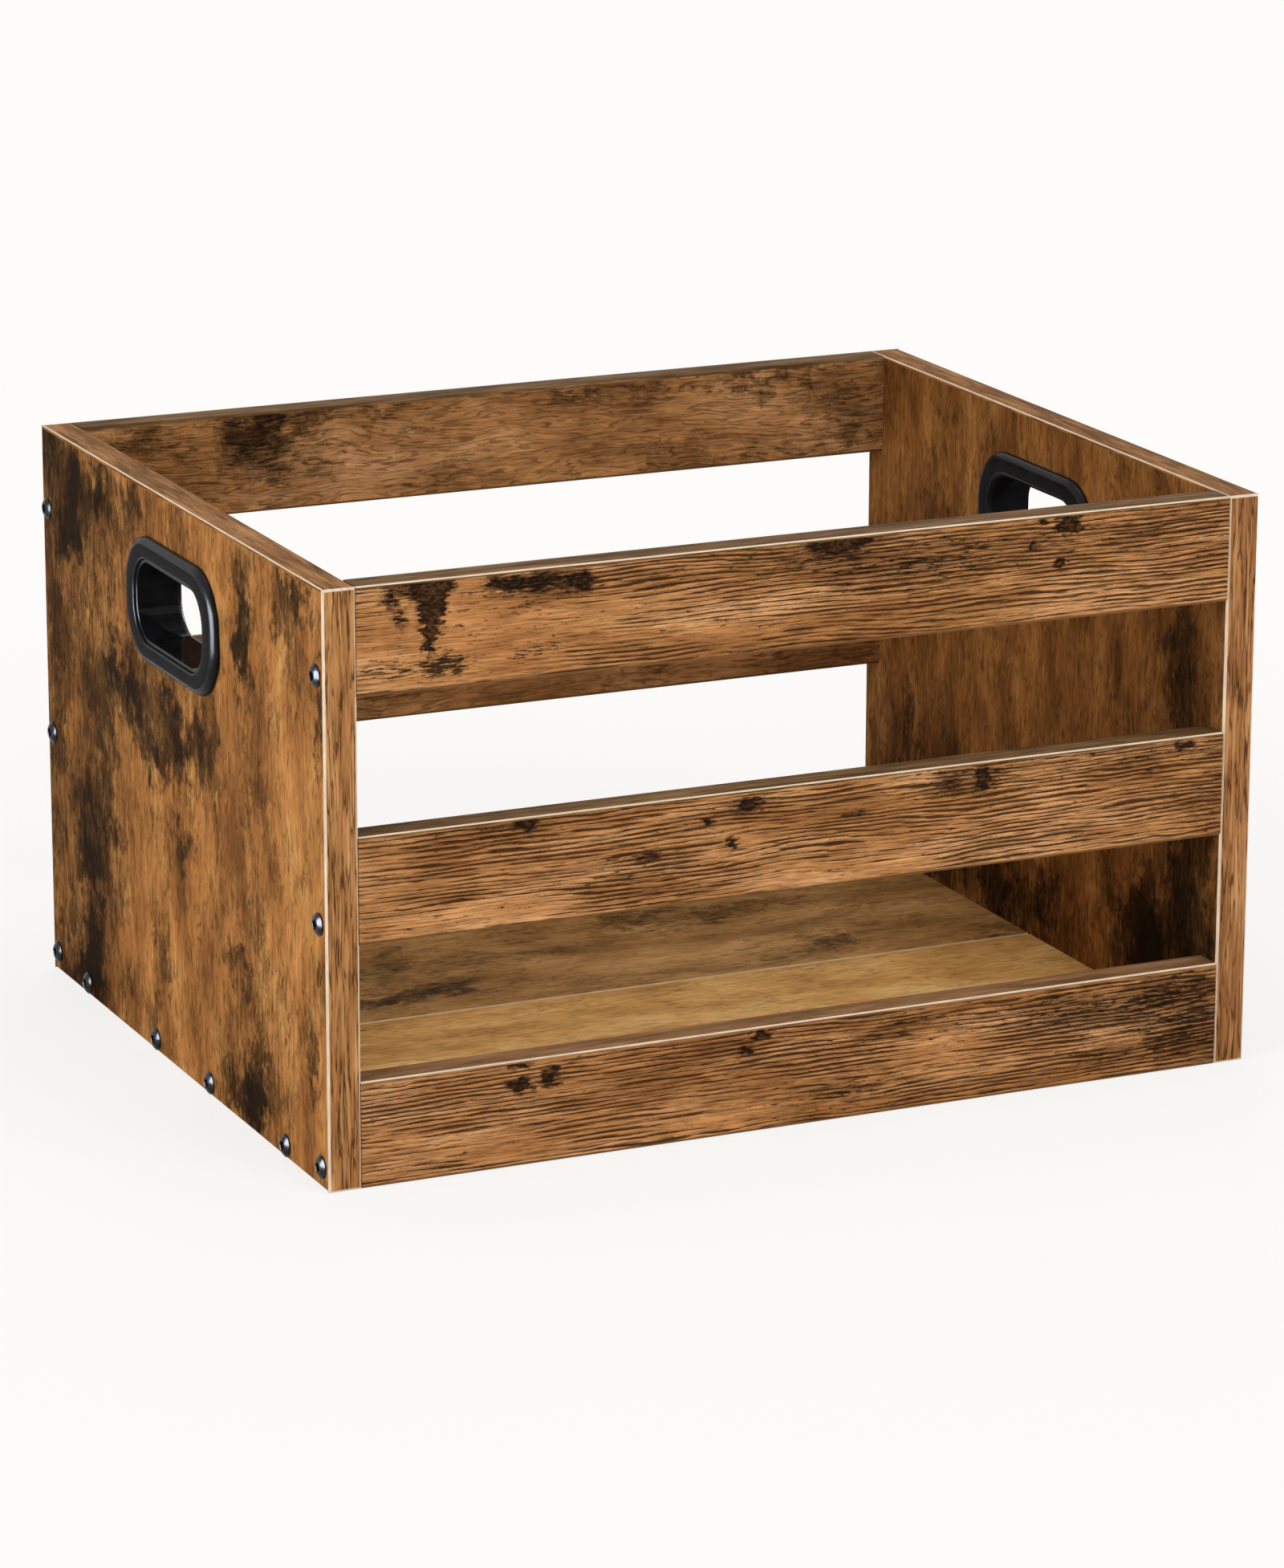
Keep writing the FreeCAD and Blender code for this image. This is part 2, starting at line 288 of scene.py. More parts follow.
# %% [markdown]
# The floor is a wide pale sheet, a hair below the crate. A curved paper roll would hide the horizon
# too, but it would show from other sides. Seen by the camera the sheet is mostly the same white as the
# backdrop, with enough of its own shade left over, near the crate, for a soft shadow.

# %% Lay the floor
FLOOR_HALF_M = 6.0
FLOOR_DROP_M = 0.0002
FLOOR_CORNERS = ((-1, -1), (1, -1), (1, 1), (-1, 1))
FLOOR_PAINT = paint(250, 249, 247)
FLOOR_FADE = (260, 900, 0.8, 1.0)


def pale_floor():
    sheet = bpy.data.meshes.new("studio_floor")
    corners = [(x * FLOOR_HALF_M, y * FLOOR_HALF_M, -FLOOR_DROP_M) for x, y in FLOOR_CORNERS]
    sheet.from_pydata(corners, [], [(0, 1, 2, 3)])
    floor = bpy.data.objects.new("studio_floor", sheet)
    scene.collection.objects.link(floor)
    finish = Finish("pale_floor")
    matt = finish.node("ShaderNodeBsdfDiffuse", {"Color": FLOOR_PAINT})
    glow = finish.node("ShaderNodeEmission", {"Color": BACKDROP_WHITE, "Strength": 1.0})
    ray = finish.node("ShaderNodeLightPath").outputs["Is Camera Ray"]
    far = finish.vector("LENGTH", finish.place)
    share = finish.sum("MULTIPLY", ray, finish.between(far, *FLOOR_FADE))
    both = finish.node("ShaderNodeMixShader", {0: share, 1: matt.outputs[0], 2: glow.outputs[0]})
    finish.node("ShaderNodeOutputMaterial", {0: both.outputs[0]})
    sheet.materials.append(finish.material)


pale_floor()
print("floor laid, metres wide:", 2 * FLOOR_HALF_M)

# %% [markdown]
# ## The grain of the print
# The boards are covered with paper printed like smoky old oak. A picture of real oak could be wrapped
# around them, but it would blur up close and repeat. Layers of noise have neither fault. Each layer is
# stretched along the grain of its board, and the grain itself sways and curls a little, because dead
# straight lines look like combed hair. Growth lines are drawn as a map maker draws contours: where a
# soft hilly noise crosses one of many levels, there is a line.

# %% Run the grain
UPRIGHT = "ZYX"
LEVEL = "XZY"
FLAT = "XYZ"
PRINT_MM = {
    # size of each layer along the grain, across it and into the board
    "sway": (90, 34, 60),
    "curl": (13, 7, 9),
    "ring": (80, 9, 20),
    "press": (14, 2.4, 6),
    "tone": (70, 26, 40),
    "fibre": (26, 1.3, 9),
    "grit": (9, 0.7, 4),
    "dash": (15, 0.9, 6),
    "pale": (13, 0.8, 6),
    "fray": (13, 10, 8),
    "drift": (44, 28, 22),
    "streak": (15, 1.4, 7),
}
SWAY_REACH_MM = 14
RINGS = 14
RING_PRESS = -0.9
RING_EDGE = (-0.4, -0.3, 1.0, 0.0)


def by_grain(grain, along, across, depth):
    """Sizes along the grain, across it and into the board, put in the order X, Y, Z."""
    sizes = dict(zip(grain, (along, across, depth)))
    return (sizes["X"], sizes["Y"], sizes["Z"])


def print_cloud(finish, place, grain, layer, seed, coarse=1.0, **more):
    """One layer of the print as a cloud; coarse makes it wider across the grain."""
    along, across, depth = PRINT_MM[layer]
    return finish.cloud(place, by_grain(grain, along, across * coarse, depth), seed=seed, **more)


def curly_grain(finish, grain, curl_mm, seed):
    """The place, pushed across the grain: in a wide sway first, and then in small curls."""
    sway_size = by_grain(grain, *PRINT_MM["sway"])
    curl_size = by_grain(grain, *PRINT_MM["curl"])
    sway = finish.stray(finish.place, sway_size, by_grain(grain, 0, SWAY_REACH_MM, 0), seed=seed)
    return finish.stray(sway, curl_size, by_grain(grain, 0, curl_mm, 0), seed=seed + 8)


def growth_lines(finish, curl, grain, coarse, seed):
    """Thin broken lines, like the contours of a map: 1 on a line, 0 beside it."""
    hill = print_cloud(finish, curl, grain, "ring", seed + 10, coarse)
    gap = finish.sum("PINGPONG", finish.sum("MULTIPLY", hill, RINGS), 0.5)
    press = print_cloud(finish, curl, grain, "press", seed + 11, coarse, detail=4, rough=0.65)
    return finish.between(finish.sum("MULTIPLY_ADD", press, RING_PRESS, gap), *RING_EDGE)


print("layers in the print:", list(PRINT_MM))
print("a grain that stands upright:", by_grain(UPRIGHT, 3, 2, 1))

# %% [markdown]
# ## The smooth print
# Up close the smooth print has three layers: a brown ground that drifts in tone, short fibres and
# growth lines that run with the grain, and sooty stains with frayed edges. A stain starts as a soft
# round spot in a fixed place. To make it look like smoke in wood, its place is pushed about at random,
# and the fibres are added to its strength, so that it runs out in streaks. Where no spot is named, a
# slow drift of noise lets chance put some.

# %% Mix the smooth print
TONE_MARKS = (0.34, 0.5, 0.66)
FIBRE_MARKS = (0.28, 0.72)
FIBRE_SHADE = (0.28, 0.22)
GRIT_MARKS = (0.32, 0.68)
GRIT_SHADE = (0.28, 0.24)
RING_SHARE = 0.5
PALE_MARKS = (0.57, 0.7)
PALE_SHARE = 0.45
DASH_MARKS = (0.55, 0.67)
DASH_SHARE = 0.5
FRAY_REACH_MM = (70, 52)
DRIFT_STEP = (0.3, 0.8, -0.4, 0.75)
STREAK_FORCE = 2.4
GRIT_FORCE = 1.6
RING_FORCE = 0.25
RING_DEPTH = 0.8
SMOKE_STEP = (-0.25, 0.95, 0.0, 0.77)
SOOT_STEP = (0.35, 1.6, 0.0, 0.92)
FIBRE_BROWN = paint(54, 33, 16)
FIBRE_PALE = paint(216, 158, 94)
SMOKE_BROWN = paint(68, 46, 24)
SOOT = paint(24, 18, 12)
PLAIN_CURL_MM = 1.6


def printed_ground(finish, curl, grain, tones, bite, coarse, seed):
    """The brown ground with its fibres; returns its colour, its grit and its dark lines."""
    tone = print_cloud(finish, curl, grain, "tone", seed + 1, detail=5, rough=0.6)
    fibre = print_cloud(finish, curl, grain, "fibre", seed + 2, coarse, detail=4, rough=0.7)
    grit = print_cloud(finish, curl, grain, "grit", seed + 7, coarse, rough=0.65)
    dash = print_cloud(finish, curl, grain, "dash", seed + 3, coarse, rough=0.6)
    pale = print_cloud(finish, curl, grain, "pale", seed + 9, coarse, rough=0.6)
    rings = growth_lines(finish, curl, grain, coarse, seed)
    colour = finish.steps(tone, list(zip(TONE_MARKS, tones)))
    shades = ((fibre, FIBRE_MARKS, FIBRE_SHADE), (grit, GRIT_MARKS, GRIT_SHADE))
    for cloud, marks, (darker, lighter) in shades:
        colour = finish.shade(colour, finish.between(cloud, *marks, 1 - darker * bite, 1 + lighter * bite))
    colour = finish.blend(finish.sum("MULTIPLY", rings, RING_SHARE * bite), colour, FIBRE_BROWN)
    colour = finish.blend(finish.between(pale, *PALE_MARKS, 0.0, PALE_SHARE * bite), colour, FIBRE_PALE)
    dashes = finish.between(dash, *DASH_MARKS, 0.0, DASH_SHARE * bite)
    return finish.blend(dashes, colour, FIBRE_BROWN), grit, finish.sum("MAXIMUM", rings, dashes)


def smooth_print(finish, grain, dark_spots, seed, tones, sootiness, bite, coarse=1.0, curl_mm=PLAIN_CURL_MM):
    """Returns the colour and the height of the smooth printed face; bite is the contrast of its grain."""
    curl = curly_grain(finish, grain, curl_mm, seed)
    colour, grit, lines = printed_ground(finish, curl, grain, tones, bite, coarse, seed)
    fray_size, fray_reach = by_grain(grain, *PRINT_MM["fray"]), by_grain(grain, *FRAY_REACH_MM, 0)
    frayed = finish.stray(curl, fray_size, fray_reach, seed=seed + 4, detail=5, rough=0.68)
    drift = print_cloud(finish, frayed, grain, "drift", seed + 5, detail=5, rough=0.65)
    streak = print_cloud(finish, curl, grain, "streak", seed + 6, coarse, detail=4, rough=0.7)
    soot = finish.sum("ADD", finish.spots(frayed, dark_spots), finish.between(drift, *DRIFT_STEP))
    for cloud, force in ((streak, STREAK_FORCE), (grit, GRIT_FORCE)):
        soot = finish.sum("MULTIPLY_ADD", finish.sum("SUBTRACT", cloud, 0.5), force * bite, soot)
    soot = finish.sum("MULTIPLY_ADD", lines, RING_FORCE, finish.sum("ADD", soot, sootiness))
    colour = finish.blend(finish.between(soot, *SMOKE_STEP), colour, SMOKE_BROWN)
    colour = finish.blend(finish.between(soot, *SOOT_STEP), colour, SOOT)
    height = finish.sum("MULTIPLY_ADD", lines, -RING_DEPTH, grit)
    return colour, height


print("a stain frays by up to", [reach / 2 for reach in FRAY_REACH_MM], "mm along and across the grain")

# %% [markdown]
# ## Dress the end panels
# Each stain is written as its place on the panel and its half sizes, in millimetres, with a strength.
# They could be painted by hand, but a list can be corrected one line at a time. Y runs to the rear and
# Z upwards, so the numbers can be read off the left end of the crate like a map. The outside of the
# left panel and the front part of the right panel's inside follow the photograph. Two low, wide spots
# towards the rear of the right panel's inside are written the same way, but they are painted shade
# inside the box. The other faces are made up in the same manner, so that the crate looks whole from
# every side.

# %% Place the stains
LEFT_PANEL_STAINS = [
    # Y, Z, half width, half height, strength
    (130, 236, 14, 26, 0.8), (140, 215, 20, 10, 0.6), (90, 244, 60, 18, 0.45), (30, 250, 50, 12, 0.4),
    (108, 140, 30, 52, 0.4), (60, 168, 50, 26, 0.35), (82, 168, 13, 9, 0.6), (60, 155, 17, 11, 0.7),
    (30, 138, 19, 9, 0.9), (-5, 152, 25, 15, 0.7), (-30, 160, 16, 11, 0.5), (15, 176, 5, 7, 0.8),
    (0, 105, 15, 13, 0.4), (118, 66, 21, 12, 0.9), (85, 90, 15, 6, 0.5), (120, 92, 26, 18, 0.5),
    (118, 28, 13, 22, 0.9), (125, 8, 32, 12, 0.9), (55, 25, 14, 20, 0.3), (18, 48, 9, 15, 0.4),
    (-82, 232, 11, 30, 0.9), (-80, 205, 17, 17, 0.5), (-145, 252, 25, 9, 0.8), (-130, 238, 15, 9, 0.5),
    (-171, 215, 6, 34, 0.7), (-70, 72, 17, 8, 0.5), (-92, 26, 13, 20, 0.95), (-80, 9, 27, 11, 0.9),
    (-158, 45, 5, 34, 0.4), (165, 110, 44, 170, 0.6), (165, 250, 40, 40, 0.55), (102, 60, 36, 80, 0.5),
    (104, 212, 34, 44, 0.4), (40, 158, 64, 26, 0.35), (-20, 196, 60, 20, 0.25), (-50, 150, 36, 28, 0.4),
    (-100, 40, 32, 60, 0.3),
]
LEFT_INSIDE_STAINS = [
    (140, 40, 36, 44, 0.8), (60, 110, 50, 26, 0.5), (-120, 200, 26, 50, 0.7), (-40, 14, 60, 16, 0.6),
]
RIGHT_PANEL_STAINS = [
    (150, 224, 26, 40, 0.9), (96, 150, 18, 30, 0.7), (128, 60, 24, 36, 0.8), (30, 132, 40, 12, 0.6),
    (-20, 60, 26, 40, 0.5), (-64, 156, 20, 26, 0.8), (-150, 20, 40, 24, 0.9), (-140, 150, 24, 60, 0.5),
    (-90, 244, 40, 14, 0.7), (50, 16, 60, 14, 0.6),
]
# the last two, low towards the rear, are painted shade inside the box; the others are stains
RIGHT_INSIDE_STAINS_AND_SHADE = [
    (-136, 176, 14, 50, 0.9), (-150, 120, 16, 40, 0.7), (-122, 48, 28, 40, 0.9), (-158, 50, 22, 60, 0.9),
    (-96, 40, 26, 30, 0.5), (-140, 12, 40, 16, 0.8), (20, 30, 80, 26, 0.6), (100, 60, 60, 50, 0.5),
]
print("stains placed outside:", len(LEFT_PANEL_STAINS), "left and", len(RIGHT_PANEL_STAINS), "right")

# %% [markdown]
# Both panels take the smooth print with an upright grain. Each has tones of its own: the right one's are
# darker, partly a darker print and partly painted shade of the inside of the box, and they serve its
# outside too. Two copies of one finish would also give both ends the same stains.
# The print has hardly any gloss: a shiny board seen at a flat angle would turn white.

# %% Finish the two end panels
FACE_DEPTH_MM = 9
BOARD_GLOSS = 0.003
PANEL_OUTER_X = 220.0
PANEL_INNER_X = 205.0
PANEL_WAYS = {"left": -1, "right": 1}
PANEL_SEEDS = {"left": 1, "right": 6}
PANEL_TONES_AND_SHADE = {
    "left": (paint(134, 86, 45), paint(180, 121, 65), paint(208, 150, 87)),
    # right: partly a darker print, partly painted shade of the inside of the box; it serves both faces
    "right": (paint(106, 66, 31), paint(143, 93, 46), paint(174, 120, 64)),
}
PANEL_SPOT_SPREAD = 1.35
PANEL_SPOT_FORCE = 1.6
PANEL_BITE = 0.6
PANEL_COARSE = 1.5
PANEL_CURL_MM = 4.0
PANEL_SOOTINESS = 0.0
PANEL_RELIEF_MM = 0.12
PANEL_ROUGH = (0.2, 0.8, 0.5, 0.38)


def panel_dark_spots(face, dark_spots):
    return [
        ((face, y, z), (FACE_DEPTH_MM, PANEL_SPOT_SPREAD * wide, PANEL_SPOT_SPREAD * tall), PANEL_SPOT_FORCE * force)
        for y, z, wide, tall, force in dark_spots
    ]


def end_panel_finish(side, outside, inside):
    finish = Finish(f"{side}_panel_print")
    way = PANEL_WAYS[side]
    dark_spots = panel_dark_spots(way * PANEL_OUTER_X, outside) + panel_dark_spots(way * PANEL_INNER_X, inside)
    seed, tones = PANEL_SEEDS[side], PANEL_TONES_AND_SHADE[side]
    looks = (PANEL_SOOTINESS, PANEL_BITE, PANEL_COARSE, PANEL_CURL_MM)
    colour, height = smooth_print(finish, UPRIGHT, dark_spots, seed, tones, *looks)
    rough = finish.between(height, *PANEL_ROUGH)
    return finish.coat(colour, rough, height, PANEL_RELIEF_MM, BOARD_GLOSS)


dress("left_end_panel", end_panel_finish("left", LEFT_PANEL_STAINS, LEFT_INSIDE_STAINS))
dress("right_end_panel", end_panel_finish("right", RIGHT_PANEL_STAINS, RIGHT_INSIDE_STAINS_AND_SHADE))
print("end panels dressed:", list(PANEL_TONES_AND_SHADE))

# %% [markdown]
# ## The combed relief of the slats
# The show side of a slat is pressed with a combed relief: thin dark grooves that wander along the
# board, with a ridge between each two, paler in its print and painted lighter towards one side as a
# painted highlight. They could be cut into the mesh, but at a fraction of a millimetre deep that would
# take millions of faces, so they are drawn in colour and bump. A wavy height is cut into rows, and the
# edge of a row is the groove. Clouds decide where the grooves are bold, where they break off and where
# the board stays calm.

# %% Comb the grooves
COMB_MM = {
    # size of each layer along X, Y and Z
    "swell": (90, 40, 17),
    "ripple": (40, 40, 4),
    "vigour": (60, 40, 10),
    "breaks": (22, 40, 0.9),
    "hair": (12, 40, 0.7),
    "fray": (6, 40, 3),
    "mottle": (4.6, 20, 1.0),
    "vein": (2.2, 20, 1.4),
    "flake": (6.0, 20, 0.8),
    "smoke": (14, 40, 5),
    "tone": (90, 40, 14),
    "fibre": (18, 20, 0.8),
    "dash": (6.5, 20, 0.9),
}
ROW_MM = 2.05
FINE_ROW_MM = 1.0
SWELL_MM = 8.0
RIPPLE_MM = 2.4
VIGOUR_FORCE = 0.9
BREAKS_FORCE = 1.2
CALM_FORCE = -0.42
SMOKE_FORCE = 0.06
BOLDER_ALONG_X = (-120, 200, -0.95, -0.92)
WIDEST_GROOVE = 0.24
GROOVE_EDGE = (-0.09, 0.05)
HAIR_FORCE = 1.6
HAIR_BOLD = 0.4
HAIR_BASE = -0.72
HAIR_EDGE = (-0.1, 0.1)


def combed_grooves(finish, calm, smoke, seed):
    """Returns how much a point is groove, bold or fine, and how high it lies on its ridge, from 0 to 1."""
    place = finish.place
    swell = finish.cloud(place, COMB_MM["swell"], seed=seed, detail=2)
    ripple = finish.cloud(place, COMB_MM["ripple"], seed=seed + 1, detail=5, rough=0.6)
    level = finish.sum("MULTIPLY_ADD", swell, SWELL_MM, finish.axis("Z"))
    level = finish.sum("MULTIPLY_ADD", ripple, RIPPLE_MM, level)
    row = finish.sum("MULTIPLY", level, 1 / ROW_MM)
    fine_row = finish.sum("MULTIPLY", level, 1 / FINE_ROW_MM)
    vigour = finish.cloud(place, COMB_MM["vigour"], seed=seed + 2)
    breaks = finish.cloud(place, COMB_MM["breaks"], seed=seed + 3, detail=4, rough=0.7)
    bold = finish.sum("MULTIPLY_ADD", vigour, VIGOUR_FORCE, finish.sum("MULTIPLY", breaks, BREAKS_FORCE))
    bold = finish.sum("MULTIPLY_ADD", calm, CALM_FORCE, bold)
    bold = finish.sum("MULTIPLY_ADD", smoke, SMOKE_FORCE, bold)
    bold = finish.sum("ADD", bold, finish.between(finish.axis("X"), *BOLDER_ALONG_X))
    bold = finish.sum("MINIMUM", bold, WIDEST_GROOVE)
    from_row = finish.sum("PINGPONG", row, 0.5)
    groove = finish.between(finish.sum("SUBTRACT", bold, from_row), *GROOVE_EDGE)
    hair = finish.cloud(place, COMB_MM["hair"], seed=seed + 9, rough=0.6)
    hair_base = finish.sum("MULTIPLY_ADD", bold, HAIR_BOLD, HAIR_BASE)
    hair = finish.sum("MULTIPLY_ADD", hair, HAIR_FORCE, hair_base)
    from_fine_row = finish.sum("PINGPONG", fine_row, 0.5)
    fine = finish.between(finish.sum("SUBTRACT", hair, from_fine_row), *HAIR_EDGE)
    return groove, fine, finish.sum("FRACT", row)


print("bold grooves in 10 mm:", round(10 / ROW_MM, 1), "and fine ones:", round(10 / FINE_ROW_MM, 1))

# %% [markdown]
# A knot on the print is black at its rim and cracked brown at its heart, with a brown halo. Three spots
# could be laid on one another, but they would drift apart when one is moved. One soft spot gives all
# three: a low mark on its strength is the halo, a middle one the rim and a high one the heart. Flakes
# are the small black chips around some knots.

# %% Burn the knots
KNOT_BROWN = paint(92, 60, 36)
KNOT_BLACK = paint(25, 19, 14)
KNOT_FRAY_MM = (18, 0, 9)
MOTTLE_FORCE = 1.2
KNOT_HALO = (0.1, 0.4, 0.0, 0.7)
KNOT_EDGE = (0.26, 0.6, 0.0, 0.97)
KNOT_HEART = (0.55, 0.95)
HEART_VEIN = (0.42, 0.58, 0.1, 0.75)
FLAKE_FORCE = 2.2
FLAKE_EDGE = (1.57, 1.75, 0.0, 0.92)


def burnt_marks(finish, colour, marks, seed):
    """Lays the knots and the flakes over the slat's colour."""
    place = finish.place
    frayed = finish.stray(place, COMB_MM["fray"], KNOT_FRAY_MM, seed=seed + 6, detail=5, rough=0.65)
    mottle = finish.cloud(place, COMB_MM["mottle"], seed=seed + 7, detail=4, rough=0.55)
    char = finish.spots(frayed, marks["knots"])
    char = finish.sum("MULTIPLY_ADD", finish.sum("SUBTRACT", mottle, 0.5), MOTTLE_FORCE, char)
    vein = finish.cloud(place, COMB_MM["vein"], seed=seed + 10, detail=4, rough=0.65)
    heart = finish.sum("MULTIPLY", finish.between(char, *KNOT_HEART), finish.between(vein, *HEART_VEIN))
    burnt = finish.blend(heart, KNOT_BLACK, KNOT_BROWN)
    colour = finish.blend(finish.between(char, *KNOT_HALO), colour, KNOT_BROWN)
    colour = finish.blend(finish.between(char, *KNOT_EDGE), colour, burnt)
    flake = finish.cloud(place, COMB_MM["flake"], seed=seed + 11, detail=4, rough=0.6)
    flake = finish.sum("MULTIPLY_ADD", flake, FLAKE_FORCE, finish.spots(frayed, marks["specks"]))
    return finish.blend(finish.between(flake, *FLAKE_EDGE), colour, KNOT_BLACK)


print("a knot frays by up to", [reach / 2 for reach in KNOT_FRAY_MM], "mm along X, Y and Z")

# %% [markdown]
# The finish of the combed face is laid in the order in which a printer would lay it: tone and fibre
# first, then smoke, then the grooves, and last the cracks and knots, which nothing covers. In another
# order a groove would run across a knot. The height follows the grooves, so that the light of the lamps
# breaks on the ridges. Each ridge is also painted lighter towards one side, as a painted highlight and
# shade on the relief.

# %% Mix the combed print
SLAT_TONES = (paint(152, 101, 58), paint(180, 126, 77), paint(202, 149, 100))
GROOVE_BROWN = paint(56, 31, 15)
SMOKE_REACH_MM = (70, 0, 20)
# painted highlight and shade across each ridge, lighter towards one side
RIDGE_PAINTED_LIGHT = 0.28
FIBRE_LIGHT = (0.3, 0.7, 0.56, 1.16)
CALM_LIGHT = 0.16
HAZE_FIBRE = -2.4
HAZE_STEP = (0.0, 1.0, 0.0, 0.5)
FINE_SHARE = 0.45
GROOVE_SHARE = 0.9
SMOKE_CRACKS = 0.1
CALM_CRACKS = 0.045
CRACK_EDGE = (0.64, 0.68, 0.0, 0.85)
RIDGE_HEIGHT = 0.35
FINE_DEPTH = 0.3


def combed_print(finish, marks, seed):
    """Returns the colour and the height of the combed face of a slat."""
    place = finish.place
    smoky = finish.stray(place, COMB_MM["smoke"], SMOKE_REACH_MM, seed=seed + 8, detail=5, rough=0.65)
    smoke = finish.spots(smoky, marks["smoke"])
    calm = finish.spots(place, marks["calm"])
    groove, fine, ridge = combed_grooves(finish, calm, smoke, seed)
    tone = finish.cloud(place, COMB_MM["tone"], seed=seed + 4, detail=4, rough=0.6)
    fibre = finish.cloud(place, COMB_MM["fibre"], seed=seed + 5, detail=4, rough=0.7)
    colour = finish.steps(tone, list(zip(TONE_MARKS, SLAT_TONES)))
    # each ridge is painted lighter towards one side as painted light on its relief; the fibre shifts the
    # tone
    ridge_light_and_fibre = finish.sum("MULTIPLY_ADD", ridge, RIDGE_PAINTED_LIGHT, finish.between(fibre, *FIBRE_LIGHT))
    colour = finish.shade(colour, finish.sum("MULTIPLY_ADD", calm, CALM_LIGHT, ridge_light_and_fibre))
    haze = finish.sum("MULTIPLY_ADD", finish.sum("SUBTRACT", fibre, 0.5), HAZE_FIBRE, smoke)
    colour = finish.blend(finish.between(haze, *HAZE_STEP), colour, SMOKE_BROWN)
    colour = finish.blend(finish.sum("MULTIPLY", fine, FINE_SHARE), colour, GROOVE_BROWN)
    colour = finish.blend(finish.sum("MULTIPLY", groove, GROOVE_SHARE), colour, GROOVE_BROWN)
    crack = finish.cloud(place, COMB_MM["dash"], seed=seed + 12, detail=4, rough=0.65)
    crack = finish.sum("MULTIPLY_ADD", calm, CALM_CRACKS, crack)
    crack = finish.sum("MULTIPLY_ADD", smoke, SMOKE_CRACKS, crack)
    colour = finish.blend(finish.between(crack, *CRACK_EDGE), colour, KNOT_BLACK)
    colour = burnt_marks(finish, colour, marks, seed)
    height = finish.sum("MULTIPLY_ADD", groove, -1.0, finish.sum("MULTIPLY", ridge, RIDGE_HEIGHT))
    height = finish.sum("MULTIPLY_ADD", fine, -FINE_DEPTH, height)
    return colour, height


print("tones of a slat:", [tuple(round(part, 3) for part in tone[:3]) for tone in SLAT_TONES])

# %% [markdown]
# ## Dress the slats
# Four kinds of mark lie on the combed side of a slat: knots, smoke around them, calm places where the
# comb pressed less, and specks, where flakes gather. As on the panels they are lists of places and half
# sizes, here with X to the right and Z upwards. The marks of the front slats lie where the photograph
# has them, and so do the stains inside the rear top slat. The outsides of the rear slats face away from
# the camera, so their marks are made up, and no two slats share them.

